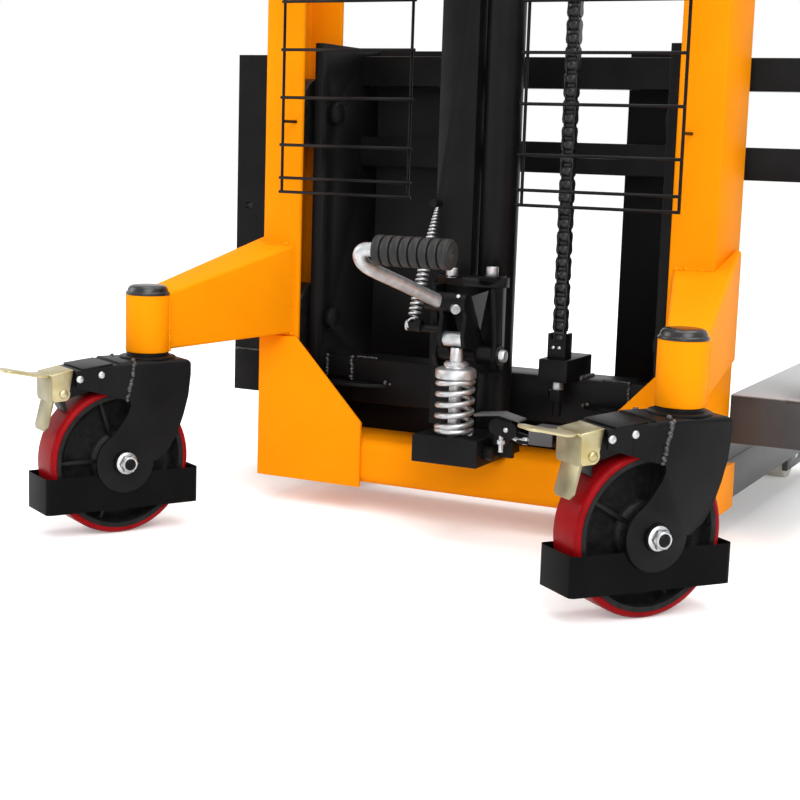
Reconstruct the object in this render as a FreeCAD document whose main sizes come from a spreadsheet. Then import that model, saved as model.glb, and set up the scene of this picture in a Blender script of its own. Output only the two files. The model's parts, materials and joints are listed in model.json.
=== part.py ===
"""Hand pallet stacker with a foot pump: every piece of the assembly, in millimetres, +Z up.

X is to the operator's right, Y runs forward along the forks and the floor is at Z = 0.
The origin lies on the floor in the middle of the length and the width.
"""
import FreeCAD, Part
import math
import os
import re
import Sketcher

SIZES = [
    # mast: two C-channels that open towards each other
    ("mast_y", -238), ("post_half", 308), ("post_flange", 56), ("post_depth", 108), ("post_wall", 8),
    ("mast_top", 2100), ("head_beam_drop", 10), ("head_beam_high", 60), ("head_beam_rear", 44),
    # base beam, corner gussets and legs
    ("beam_depth", 150), ("beam_bottom", 38), ("beam_top", 97), ("beam_wall", 6), ("beam_round", 14),
    ("gusset_width", 157), ("gusset_bottom", 34), ("gusset_shoulder", 120), ("gusset_top", 226),
    ("gusset_inset", 55), ("gusset_thick", 6),
    ("leg_inset", 10), ("leg_width", 90), ("leg_low", 42), ("leg_wall", 6), ("leg_end", 640),
    ("cheek_thick", 8), ("cheek_low", 20), ("cheek_long", 100), ("nose_gap", 20),
    ("load_roller_r", 41), ("load_roller_half", 27), ("load_axle_r", 10), ("load_axle_back", 62),
    ("stop_inset", 80), ("stop_depth", 44),
    # outrigger arms and swivel tubes
    ("king_out", 32), ("king_back", 216), ("tube_r", 27), ("tube_bore", 20), ("tube_high", 70.7),
    ("arm_half", 20.5), ("arm_rise", 49), ("arm_crest", 158), ("wing_thick", 6),
    ("wing_rise", 42), ("wing_crest", 175),
    ("wing_cut", 24),
    ("cap_r", 25), ("cap_high", 14), ("cap_wall", 3), ("bush_high", 16),
    # casters
    ("swivel_left", -29.8), ("swivel_right", -38.3), ("trail", 45), ("wheel_r", 90), ("wheel_half", 25),
    ("tread_thick", 7), ("rim_thick", 15), ("hub_r", 23), ("web_half", 6), ("axle_r", 8),
    ("leg_in", 33), ("fork_plate", 4), ("knuckle_r", 37), ("head_gap", 33), ("head_thick", 6),
    ("washer_high", 7),
    ("head_front", 41.5), ("head_back", 52), ("house_half", 30.5), ("house_inset", 30), ("house_high", 20),
    ("ear_half", 18), ("ear_thick", 4),
    ("hoop_room", 13), ("hoop_plate", 4), ("hoop_drop", 58), ("hoop_high", 44), ("hoop_shift", 2),
    ("pin_r", 15), ("pin_nut_r", 17), ("pin_nut_high", 6), ("washer_r", 31), ("nut_r", 12), ("nut_high", 10),
    ("brake_inset", 16), ("brake_drop", 3.5), ("brake_pin_r", 5), ("pedal_half", 24), ("pedal_plate", 3.5),
    ("deck_long", 15), ("pedal_long", 68), ("pedal_rise", 23.5), ("tongue_half", 17), ("tab_near", 8),
    ("tab_drop", 34),
    ("end_drop", 10), ("shoe_half", 12), ("shoe_gap", 0.3),
    # lift carriage
    ("side_inset", 74), ("side_plate", 12), ("side_rear", 21), ("side_front", 192), ("side_low", 160),
    ("side_top", 610),
    ("front_inset", 177), ("tube_inset", 113), ("tube_rear", 50), ("tube_size", 60), ("tube_z", 138),
    ("tube_wall", 5),
    ("link_deep", 30), ("link_high", 28), ("bar_rear", 132), ("bar_deep", 25), ("bar_high", 40),
    ("bar_low_z", 452), ("bar_up_z", 560),
    ("fork_inset", 1), ("fork_width", 106), ("fork_low", 127), ("fork_high", 62), ("fork_rear", 112),
    ("fork_long", 768),
    ("fork_wall", 8), ("fork_taper", 190), ("fork_tip", 22), ("shank_deep", 20), ("shank_wide", 37),
    ("web_long", 88), ("web_high", 140), ("lock_hole_r", 5), ("lock_hole_in", 16), ("lock_hole_z", 391),
    ("roller_r", 45.5), ("roller_half", 19), ("roller_inset", 31), ("roller_axle_r", 12),
    ("roller_low_z", 248),
    ("roller_up_z", 520), ("roller_head_r", 15), ("roller_head", 8), ("run_clear", 0.05), ("touch_gap", 0.3),
    # lifting gear
    ("lift_x", 24), ("lift_y", 20), ("barrel_r", 24), ("barrel_bore", 18), ("barrel_top", 1020),
    ("gland_r", 29),
    ("gland_high", 25), ("ram_r", 14), ("ram_low", 160), ("piston_high", 20), ("yoke_half", 20),
    ("yoke_gap", 11.5),
    ("yoke_plate", 6), ("yoke_base", 20), ("yoke_deep", 12), ("sheave_z", 1195), ("chain_x", 111.5),
    ("chain_y", 23),
    ("chain_r", 23.2), ("chain_high", 15), ("chain_wide", 17), ("sheave_half", 5), ("sheave_axle_r", 7),
    ("anchor_half", 19), ("anchor_rear", 2), ("anchor_front", 90), ("anchor_high", 28), ("clevis_half", 11),
    ("clevis_high", 30), ("stud_r", 8), ("stud_low", 152), ("anchor_nut_r", 15), ("anchor_nut_high", 13),
    ("dead_end_z", 985), ("dead_end_high", 20), ("dead_end_side", 14),
    ("tank_left", -52), ("tank_right", -2), ("tank_rear", -4), ("tank_deep", 46), ("tank_wall", 4),
    ("tank_top", 760),
    # foot pump
    ("pump_x", 6), ("stroke_x", 10), ("pump_y", -62), ("block_half", 44),
    ("block_rear", -90), ("block_front", 48),
    ("block_high", 34),
    ("plunger_r", 8), ("well_floor", 8), ("seat_r", 24.2), ("seat_high", 14), ("collar_r", 13),
    ("collar_high", 7),
    ("coil_high", 70), ("coil_r", 21.2), ("wire_r", 3.6), ("coil_turns", 5),
    ("rocker_y", -22), ("rocker_z", 228), ("rocker_pin_r", 8), ("ear_in", 37), ("ear_plate", 6),
    ("ear_top", 312),
    ("back_plate", 6), ("top_plate", 6), ("plate_nose", 30), ("bolt_r", 5), ("bolt_head_r", 9),
    ("bolt_head", 7),
    ("bolt_half", 27),
    ("rocker_in", 13), ("rocker_plate", 5), ("rocker_hub_r", 11.4), ("contact_r", 9.3), ("contact_half", 12),
    ("socket_y", -64), ("socket_z", 294), ("socket_r", 12),
    ("bar_r", 9.75), ("pedal_left", -75), ("pedal_y", -182), ("pedal_z", 364), ("pedal_right", 56),
    ("pedal_bend", 20),
    ("grip_r", 18), ("grip_left", -43),
    ("spring_r", 6.5), ("spring_top_x", -48), ("spring_top_y", -14), ("spring_top_z", 404),
    ("hook_x", -70), ("hook_y", -50), ("hook_z", 258), ("hook_r", 5), ("spring_eye", 7.3),
    # release valve and its foot lever
    ("valve_y", -66), ("valve_z", 114), ("valve_r", 9), ("valve_long", 14), ("lever_x", 76), ("lever_z", 132),
    ("lever_pin_r", 4), ("lever_half", 4), ("lever_long", 74), ("foot_long", 46), ("foot_half", 22),
    ("foot_plate", 4),
    # guards and push handle
    ("guard_back", 36), ("wire_guard_r", 2), ("weld_depth", 1.6), ("guard_in", 66), ("guard_inset", 46),
    ("guard_z", 414), ("guard_top", 1494),
    ("guard_step", 18), ("mesh_pitch", 60), ("mesh_bays", 1),
    ("handle_r", 16), ("handle_inset", 22), ("handle_sink", 30), ("handle_back", 170), ("handle_low", 960),
    ("handle_high", 1060),
    ("handle_bend", 60), ("sleeve_r", 20), ("sleeve_in", 50), ("sleeve_out", 190),
]

doc = FreeCAD.newDocument("PalletStacker")
sheet = doc.addObject("Spreadsheet::Sheet", "Sizes")
for row, (alias, number) in enumerate(SIZES, 1):
    sheet.set(f"A{row}", alias)
    sheet.set(f"B{row}", str(number))
    sheet.setAlias(f"B{row}", alias)
doc.recompute()

ALIASES = {alias for alias, number in SIZES}
WORD = re.compile(r"[a-z][a-z_0-9]*")
TURNS = {
    "x": FreeCAD.Rotation(FreeCAD.Vector(0, 1, 0), 90),
    "y": FreeCAD.Rotation(FreeCAD.Vector(1, 0, 0), -90),
    "z": FreeCAD.Rotation(),
}
SIDES = (("left", -1), ("right", 1))
# heights and places that follow from the wheels
HEAD_TOP = "(2 * wheel_r + head_gap)"
TUBE_LOW = f"({HEAD_TOP} + washer_high + touch_gap)"
TUBE_TOP = f"({TUBE_LOW} + tube_high)"
BRAKE_OUT = "(wheel_r - brake_inset)"
BRAKE_UP = "(wheel_r - brake_drop)"
BRAKE_BACK = f"(trail + {BRAKE_OUT})"
BRAKE_Z = f"(wheel_r + {BRAKE_UP})"
nodes = {}


def bind(piece, prop, text):
    """Ties one property of a piece to the sheet."""
    linked = WORD.sub(lambda word: "Sizes." + word.group(0) if word.group(0) in ALIASES else word.group(0),
                      str(text))
    piece.setExpression(prop, linked)


def size(alias):
    """The number that a cell of the sheet holds now."""
    return float(sheet.get(alias))


def behind(text):
    """A Y place counted from the rear plane of the mast."""
    return f"mast_y + ({text})"


def mirrored(sign, low, high):
    """A span in X, on the right for +1 and on the left for -1."""
    return (low, high) if sign > 0 else (f"-({high})", f"-({low})")


def around(centre, half):
    return (f"{centre} - ({half})", f"{centre} + ({half})")


def from_mast(low, high):
    return (behind(low), behind(high))


def box(name, x, y, z):
    piece = doc.addObject("Part::Box", name)
    for axis, prop, (low, high) in zip("xyz", ("Length", "Width", "Height"), (x, y, z)):
        bind(piece, prop, f"({high}) - ({low})")
        bind(piece, f"Placement.Base.{axis}", low)
    return piece


def rod(name, axis, radius, span, centre):
    """A cylinder along one axis; centre gives its place on the other two, in X, Y, Z order."""
    piece = doc.addObject("Part::Cylinder", name)
    bind(piece, "Radius", radius)
    bind(piece, "Height", f"({span[1]}) - ({span[0]})")
    piece.Placement = FreeCAD.Placement(FreeCAD.Vector(), TURNS[axis])
    bind(piece, f"Placement.Base.{axis}", span[0])
    for other, text in zip([letter for letter in "xyz" if letter != axis], centre):
        bind(piece, f"Placement.Base.{other}", text)
    return piece


def hexagon(name, axis, radius, span, centre):
    piece = doc.addObject("Part::Prism", name)
    piece.Polygon = 6
    bind(piece, "Circumradius", radius)
    bind(piece, "Height", f"({span[1]}) - ({span[0]})")
    piece.Placement = FreeCAD.Placement(FreeCAD.Vector(), TURNS[axis])
    bind(piece, f"Placement.Base.{axis}", span[0])
    for other, text in zip([letter for letter in "xyz" if letter != axis], centre):
        bind(piece, f"Placement.Base.{other}", text)
    return piece


def outline_sketch(body, name, plane, corners, offset):
    """A closed outline whose corners are tied to the sheet, on a plane parallel to an origin plane."""
    sketch = body.newObject("Sketcher::SketchObject", name)
    role = [feature for feature in body.Origin.OriginFeatures if feature.Role == plane][0]
    sketch.AttachmentSupport = (role, [""])
    sketch.MapMode = "FlatFace"
    bind(sketch, "AttachmentOffset.Base.z", offset)
    count = len(corners)
    angles = [2 * math.pi * index / count for index in range(count)]
    ring = [FreeCAD.Vector(math.cos(angle), math.sin(angle), 0) for angle in angles]
    for index in range(count):
        sketch.addGeometry(Part.LineSegment(ring[index], ring[(index + 1) % count]))
    for index in range(count):
        sketch.addConstraint(Sketcher.Constraint("Coincident", index, 2, (index + 1) % count, 1))
    for index, corner in enumerate(corners):
        for kind, text in zip(("DistanceX", "DistanceY"), corner):
            number = sketch.addConstraint(Sketcher.Constraint(kind, -1, 1, index, 1, 1.0))
            bind(sketch, f"Constraints[{number}]", text)
    return sketch


def plate(name, plane, corners, low, high):
    """A padded outline between two parallel planes; corners are (X, Y), (X, Z) or (Y, Z) pairs."""
    body = doc.addObject("PartDesign::Body", name)
    offset = f"-({high})" if plane == "XZ_Plane" else low
    sketch = outline_sketch(body, name + "_outline", plane, corners, offset)
    pad = body.newObject("PartDesign::Pad", name + "_pad")
    pad.Profile = sketch
    bind(pad, "Length", f"({high}) - ({low})")
    return body


def fuse(name, *pieces):
    joined = doc.addObject("Part::MultiFuse", name)
    joined.Shapes = list(pieces)
    joined.Refine = True
    return joined


def cut(name, base, *tools):
    whole = doc.addObject("Part::Cut", name)
    whole.Base = base
    whole.Tool = tools[0] if len(tools) == 1 else fuse(name + "_tools", *tools)
    whole.Refine = True
    return whole


def ring(name, axis, outer, bore, span, centre):
    return cut(name, rod(name + "_solid", axis, outer, span, centre),
               rod(name + "_bore", axis, bore, span, centre))


def node(name, *pieces):
    """Names a sub-part; several pieces stay separate solids of one group."""
    if len(pieces) == 1:
        piece = pieces[0]
    else:
        piece = doc.addObject("Part::Compound", name + "_group")
        piece.Links = list(pieces)
    piece.Label = name
    nodes[name] = piece
    return piece


def coded(name, shape, place=("0", "0", "0")):
    """A sub-part whose swept or coiled shape is worked out below from the sheet."""
    piece = doc.addObject("Part::Feature", name + "_shape")
    piece.Shape = shape
    for axis, text in zip("xyz", place):
        bind(piece, f"Placement.Base.{axis}", text)
    return node(name, piece)


def swept_tube(points, radius, bend):
    """A round bar along straight runs joined by tangent arcs."""
    corners = [FreeCAD.Vector(*point) for point in points]
    edges = []
    start = corners[0]
    for before, corner, after in zip(corners, corners[1:], corners[2:]):
        back = (before - corner).normalize()
        ahead = (after - corner).normalize()
        half = back.getAngle(ahead) / 2
        reach = bend / math.tan(half)
        middle = corner + (back + ahead).normalize() * (bend / math.sin(half) - bend)
        edges.append(Part.LineSegment(start, corner + back * reach).toShape())
        edges.append(Part.Arc(corner + back * reach, middle, corner + ahead * reach).toShape())
        start = corner + ahead * reach
    edges.append(Part.LineSegment(start, corners[-1]).toShape())
    first = Part.makeCircle(radius, corners[0], (corners[1] - corners[0]).normalize())
    return Part.Wire(edges).makePipeShell([Part.Wire([first])], True, True)


def mast_and_base():
    posts = []
    gussets = []
    wings = []
    arms = []
    for side, sign in SIDES:
        edge = f"{sign} * post_half"
        lip = f"{sign} * (post_half - post_flange)"
        web = f"{sign} * (post_half - post_wall)"
        rear, front = from_mast("0", "post_depth")
        rear_in, front_in = from_mast("post_wall", "post_depth - post_wall")
        channel = [(lip, rear), (edge, rear), (edge, front), (lip, front),
                   (lip, front_in), (web, front_in), (web, rear_in), (lip, rear_in)]
        posts.append(plate(f"post_{side}", "XY_Plane", channel, "beam_top", "mast_top"))
        foot = f"{sign} * (post_half - gusset_width)"
        slope = f"{sign} * (post_half - gusset_inset)"
        corner = [(edge, "gusset_bottom"), (foot, "gusset_bottom"), (foot, "gusset_shoulder"),
                  (slope, "gusset_top"), (edge, "gusset_top")]
        gussets.append(plate(f"gusset_{side}", "XZ_Plane", corner, *from_mast("-gusset_thick", "0")))
        wing = [(rear, "(2 * wheel_r + wing_rise)"),
                (behind("post_depth - wing_cut"), "(2 * wheel_r + wing_rise)"),
                (front, "(2 * wheel_r + wing_rise) + wing_cut"),
                (front, "(2 * wheel_r + wing_crest)"), (rear, "(2 * wheel_r + wing_crest)")]
        wings.append(plate(f"wing_{side}", "YZ_Plane", wing,
                           *mirrored(sign, "post_half", "post_half + wing_thick")))
        arms.append(outrigger(side, sign, edge, lip))
    node("mast_posts", *posts)
    node("corner_gussets", *gussets)
    node("arm_side_plates", *wings)
    node("outrigger_arms", *arms)
    across = ("-post_half", "post_half")
    node("base_beam", cut("beam", rounded_beam(across), box(
        "beam_hollow", across, from_mast("beam_wall", "beam_depth - beam_wall"),
        ("beam_bottom + beam_wall", "beam_top - beam_wall"))))
    node("mast_top_beam", box(
        "head_beam", ("-(post_half - post_wall)", "post_half - post_wall"),
        from_mast("head_beam_rear", "post_depth - post_wall"),
        ("mast_top - head_beam_drop - head_beam_high", "mast_top - head_beam_drop")))
    node("stop_bar",
         box("stop", ("-(post_half - stop_inset)", "(post_half - stop_inset)"),
             from_mast("tube_rear + 8", "tube_rear + 8 + stop_depth"),
                         ("beam_top", "tube_z - touch_gap")))


def rounded_beam(across):
    """The base beam's outer form: a bar with four rounded long edges."""
    low_y, high_y = "0", "beam_depth"
    inner_y = from_mast("beam_round", "beam_depth - beam_round")
    inner_z = ("beam_bottom + beam_round", "beam_top - beam_round")
    slabs = [box("beam_deep", across, from_mast(low_y, high_y), inner_z),
             box("beam_tall", across, inner_y, ("beam_bottom", "beam_top"))]
    edges = [rod(f"beam_edge_{number}", "x", "beam_round", across, (y, z))
             for number, (y, z) in enumerate((y, z) for y in inner_y for z in inner_z)]
    return fuse("beam_outer", *slabs, *edges)


def outrigger(side, sign, edge, lip):
    """A box arm that tapers from the post's rear face to the swivel tube."""
    body = doc.addObject("PartDesign::Body", f"arm_{side}")
    inner = f"{sign} * ((post_half + king_out) - arm_half)"
    outer = f"{sign} * ((post_half + king_out) + arm_half)"
    root = [(lip, "(2 * wheel_r + arm_rise)"), (edge, "(2 * wheel_r + arm_rise)"),
            (edge, "(2 * wheel_r + arm_crest)"), (lip, "(2 * wheel_r + arm_crest)")]
    end = [(inner, TUBE_LOW), (outer, TUBE_LOW), (outer, TUBE_TOP), (inner, TUBE_TOP)]
    loft = body.newObject("PartDesign::AdditiveLoft", f"arm_{side}_loft")
    loft.Profile = outline_sketch(body, f"arm_{side}_root", "XZ_Plane", root, "-(mast_y)")
    loft.Sections = [outline_sketch(body, f"arm_{side}_end", "XZ_Plane", end, "-(mast_y - king_back)")]
    body.Tip = loft
    king = (f"{sign} * (post_half + king_out)", behind("-king_back"))
    return cut(f"arm_{side}_fitted", body,
               rod(f"arm_{side}_seat", "z", "tube_r", (TUBE_LOW, "(2 * wheel_r + arm_crest)"), king))


def swivel_heads():
    tubes = []
    caps = []
    bushes = []
    for side, sign in SIDES:
        king = (f"{sign} * (post_half + king_out)", behind("-king_back"))
        tubes.append(ring(f"tube_{side}", "z", "tube_r", "tube_bore", (TUBE_LOW, TUBE_TOP), king))
        cap = rod(f"cap_{side}", "z", "cap_r", (TUBE_TOP, f"{TUBE_TOP} + cap_high"), king)
        room = rod(f"cap_room_{side}", "z", "tube_bore", (TUBE_TOP, f"{TUBE_TOP} + cap_high - cap_wall"),
                   king)
        caps.append(cut(f"cap_{side}_shell", cap, room))
        for place, span in (("low", (TUBE_LOW, f"{TUBE_LOW} + bush_high")),
                            ("up", (f"{TUBE_TOP} - bush_high", TUBE_TOP))):
            bushes.append(ring(f"bush_{side}_{place}", "z", "tube_bore", "pin_r + run_clear", span, king))
    node("swivel_tubes", *tubes, *bushes)
    node("stem_caps", *caps)


def legs():
    channels = []
    axles = []
    for side, sign in SIDES:
        inner, outer = "(post_half - leg_inset) - leg_width", "(post_half - leg_inset)"
        along = from_mast("beam_depth", "leg_end")
        skin = box(f"leg_{side}", mirrored(sign, inner, outer), along, ("leg_low", "beam_top"))
        room = box(f"leg_room_{side}", mirrored(sign, f"{inner} + leg_wall", f"{outer} - leg_wall"),
                   from_mast("beam_depth", "leg_end"), ("leg_low", "beam_top - leg_wall"))
        channels.append(cut(f"leg_{side}_channel", skin, room))
        axle = (behind("leg_end - load_axle_back"), "load_roller_r")
        walls = (f"{inner} + leg_wall", f"{outer} - leg_wall")
        cheeks = ((walls[0], f"{walls[0]} + cheek_thick"), (f"{walls[1]} - cheek_thick", walls[1]))
        for number, (low, high) in enumerate(cheeks):
            name = f"cheek_{side}_{number}"
            slab = box(name, mirrored(sign, low, high),
                       from_mast("leg_end - nose_gap - cheek_long", "leg_end - nose_gap"),
                       ("cheek_low", "beam_top - leg_wall"))
            hole = rod(name + "_hole", "x", "load_axle_r", mirrored(sign, low, high), axle)
            channels.append(cut(name + "_drilled", slab, hole))
        axles.append(rod(f"load_axle_{side}", "x", "load_axle_r", mirrored(sign, *walls), axle))
        middle = f"((post_half - leg_inset) - leg_width / 2)"
        node(f"load_roller_{side}", ring(
            f"load_wheel_{side}", "x", "load_roller_r", "load_axle_r + run_clear",
            mirrored(sign, f"{middle} - load_roller_half", f"{middle} + load_roller_half"), axle))
    node("base_legs", *channels)
    node("load_roller_axles", *axles)


def placed_on_king(piece, side, sign):
    """Turns a caster piece, drawn with its kingpin at the origin and its trail along -Y, to rest."""
    piece.Placement = FreeCAD.Placement(FreeCAD.Vector(), FreeCAD.Rotation(FreeCAD.Vector(0, 0, 1), 1))
    bind(piece, "Placement.Base.x", f"{sign} * (post_half + king_out)")
    bind(piece, "Placement.Base.y", behind("-king_back"))
    bind(piece, "Placement.Rotation.Angle", f"swivel_{side}")
    return piece


def caster_fork(side):
    """A flat head, two legs swept back to the axle, and the narrower brake housing welded on behind."""
    under = f"{HEAD_TOP} - head_thick"
    outside = "(leg_in + fork_plate)"
    axle = ("-trail", "wheel_r")
    head = box(f"head_{side}", (f"-{outside}", outside), ("-head_back", "head_front"), (under, HEAD_TOP))
    # the leg's front edge sweeps down and back to the knuckle, its rear edge bows round the wheel
    tall = f"({under} - wheel_r)"
    leg = [("head_front", under), ("head_front", f"{under} - 0.111 * {tall}"),
           ("0.928 * head_front", f"{under} - 0.333 * {tall}"),
           ("0.771 * head_front", f"{under} - 0.538 * {tall}"),
           ("0.566 * head_front", f"{under} - 0.735 * {tall}"),
           ("-(trail - 1.54 * knuckle_r)", "wheel_r + 0.324 * knuckle_r"),
           ("-(trail - 1.108 * knuckle_r)", "wheel_r"),
           ("-(trail + knuckle_r)", "wheel_r"),
           ("-(trail + 0.838 * knuckle_r)", "wheel_r + 0.46 * knuckle_r"),
           ("-(trail + 0.595 * knuckle_r)", "wheel_r + 0.784 * knuckle_r"),
           ("-(trail + 0.27 * knuckle_r)", "wheel_r + 1.108 * knuckle_r"),
           ("-(trail - 0.081 * knuckle_r)", f"{under} - 0.496 * {tall}"),
           ("-(trail - 0.19 * knuckle_r)", f"{under} - 0.402 * {tall}"),
           ("-(trail - 0.162 * knuckle_r)", f"{under} - 0.359 * {tall}"),
           ("-head_back", f"{under} - 0.325 * {tall}"), ("-head_back", under)]
    roof_end = "(trail + wheel_r - house_inset)"
    roof = plate(f"roof_{side}", "YZ_Plane",
                 [("-(head_back - 4)", f"{under} - 2"), (f"-{roof_end}", f"{under} - 7"),
                  (f"-{roof_end}", f"{under} - 3"),
                  ("-(head_back - 4)", f"{under} + 4")], "-house_half", "house_half")
    pieces = [head, roof]
    holes = []
    for number, sign in enumerate((-1, 1)):
        span = mirrored(sign, "leg_in", outside)
        pieces.append(plate(f"fork_leg_{side}_{number}", "YZ_Plane", leg, *span))
        pieces.append(rod(f"knuckle_{side}_{number}", "x", "knuckle_r", span, axle))
        pieces.append(brake_housing(side, number, sign, under, roof_end))
        holes.append(rod(f"axle_hole_{side}_{number}", "x", "axle_r", span, axle))
        ear = mirrored(sign, "ear_half - ear_thick", "ear_half")
        pieces.append(plate(f"brake_ear_{side}_{number}", "YZ_Plane", [
            ("-(trail + 15)", f"{under} - 2"), (f"-({roof_end} - 1)", f"{under} - 6.5"),
                                                                       (f"-({BRAKE_BACK} - 7)",
                                                                        f"{BRAKE_Z} + 19.5"),
            (f"-({BRAKE_BACK} + 5)", f"{BRAKE_Z} + 9.5"), (f"-({BRAKE_BACK} + 9)", BRAKE_Z),
                                                                       (f"-{BRAKE_BACK}", f"{BRAKE_Z} - 9"),
            (f"-({BRAKE_BACK} - 11)", f"{BRAKE_Z} - 6"), ("-(trail + 35)", "2 * wheel_r - 2"),
                                                                       ("-(trail + 15)",
                                                                        "2 * wheel_r + 4")], *ear))
        holes.append(rod(f"pivot_hole_{side}_{number}", "x", "brake_pin_r + run_clear", ear,
                         (f"-{BRAKE_BACK}", BRAKE_Z)))
    return cut(f"caster_fork_{side}_cut", fuse(f"caster_fork_{side}_whole", *pieces), *holes)


def brake_housing(side, number, sign, under, roof_end):
    """One side wall of the housing: it slants inwards from the leg's rear edge and runs back to the pedal."""
    outer, inner = f"{sign} * house_half", f"{sign} * (house_half - fork_plate)"
    wall = plate(f"wall_{side}_{number}", "XY_Plane", [
        (f"{sign} * (leg_in + fork_plate)", "-(head_back - 1)"), (outer, "-(head_back + 18)"),
                                                       (outer, f"-{roof_end}"),
        (inner, f"-{roof_end}"), (inner, "-(head_back + 18)"), (f"{sign} * leg_in", "-(head_back - 1)")],
        f"{under} - 50", HEAD_TOP)
    shape = plate(f"wall_shape_{side}_{number}", "YZ_Plane", [
        ("-(trail - 6)", f"{under} - 42"), (f"-{roof_end}", f"{under} - 3 - house_high"),
                                                              (f"-{roof_end}", f"{under} - 3"),
        ("-(head_back - 4)", f"{under} + 4"), ("-(trail - 6)", f"{under} + 4")],
                  "-(leg_in + 2 * fork_plate)", "leg_in + 2 * fork_plate")
    trimmed = doc.addObject("Part::Common", f"wall_trimmed_{side}_{number}")
    trimmed.Base = wall
    trimmed.Tool = shape
    return trimmed


def caster_wheel(side):
    """A cast wheel with hub, web and rim, and a bonded tread."""
    centre = ("-trail", "wheel_r")
    rim = "wheel_r - tread_thick"
    wide = ("-wheel_half", "wheel_half")
    hub = rod(f"hub_{side}", "x", "hub_r", wide, centre)
    web = rod(f"web_{side}", "x", f"{rim} - 1", ("-web_half", "web_half"), centre)
    band = ring(f"rim_{side}", "x", rim, f"{rim} - rim_thick", wide, centre)
    core = cut(f"core_{side}", fuse(f"core_{side}_whole", hub, web, band),
               rod(f"core_bore_{side}", "x", "axle_r + run_clear", wide, centre))
    return core, ring(f"tread_{side}", "x", "wheel_r", rim, wide, centre)


def brake_pedal(side):
    """A pressed lever riveted to its cross pin: deck, tongue, two cheeks, end plate with a tab, shoe."""
    wide = ("-pedal_half", "pedal_half")
    high = f"{BRAKE_Z} + pedal_rise"
    inner = "(trail + wheel_r - house_inset + 2.5)"
    fold = f"({BRAKE_BACK} + deck_long)"
    tip = f"({BRAKE_BACK} + pedal_long)"
    deck = plate(f"deck_{side}", "YZ_Plane",
                 [(f"-{inner}", f"{high} + 2"), (f"-{fold}", f"{high} - pedal_plate"), (f"-{fold}", high),
                  (f"-{inner}", f"{high} + 2 + pedal_plate")], *wide)
    tongue = plate(f"tongue_{side}", "YZ_Plane",
                   [(f"-({fold} - 3)", f"{high} - pedal_plate + 0.5"),
                    (f"-({fold} + 8)", f"{high} - pedal_plate - 1"),
                    (f"-{tip}", f"{high} - pedal_plate + 7"), (f"-{tip}", f"{high} + 7"),
                    (f"-({fold} + 8)", f"{high} - 1"),
                    (f"-({fold} - 3)", f"{high} + 0.5")], "-tongue_half", "tongue_half")
    end = box(f"end_plate_{side}", wide, (f"-{fold}", f"-({fold} - pedal_plate)"),
              (f"{BRAKE_Z} - end_drop", high))
    low = f"{BRAKE_Z} - end_drop"
    tab = plate(f"tab_{side}", "YZ_Plane",
                [(f"-{fold}", f"{low} + 4"), (f"-({fold} - pedal_plate)", f"{low} + 4"),
                 (f"-({fold} - pedal_plate + 8)", f"{low} - tab_drop"),
                 (f"-({fold} + 8)", f"{low} - tab_drop")],
                "-tab_near", "pedal_half")
    cheek = [(f"-{inner}", f"{high} + 3"), (f"-({BRAKE_BACK} - 9)", f"{BRAKE_Z} + 7"),
             (f"-({BRAKE_BACK} - 7)", f"{BRAKE_Z} - 5"),
             (f"-({BRAKE_BACK} + 2)", f"{BRAKE_Z} - 9"), (f"-({fold} - 1)", low),
             (f"-({fold} - 1)", f"{high} - 1")]
    reach = f"(sqrt({BRAKE_OUT}^2 + {BRAKE_UP}^2) - wheel_r + shoe_gap)"
    shoe = [(f"-({BRAKE_BACK} - 5)", BRAKE_Z),
            (f"-({BRAKE_BACK} - 0.27 * {reach} - 2.7)", f"{BRAKE_Z} - 0.96 * {reach} + 2.9"),
            (f"-({BRAKE_BACK} - 0.27 * {reach} + 1.4)", f"{BRAKE_Z} - 0.96 * {reach} - 1.5"),
            (f"-({BRAKE_BACK} + 5)", BRAKE_Z)]
    pieces = [deck, tongue, end, tab, plate(f"shoe_{side}", "YZ_Plane", shoe, "-shoe_half", "shoe_half"),
              rod(f"brake_pin_{side}", "x", "brake_pin_r", ("-(pedal_half + 3)", "pedal_half + 3"),
                  (f"-{BRAKE_BACK}", BRAKE_Z))]
    for number, sign in enumerate((-1, 1)):
        pieces.append(plate(f"cheek_plate_{side}_{number}", "YZ_Plane", cheek,
                            *mirrored(sign, "pedal_half - pedal_plate", "pedal_half")))
    return fuse(f"brake_pedal_{side}_whole", *pieces)


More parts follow.
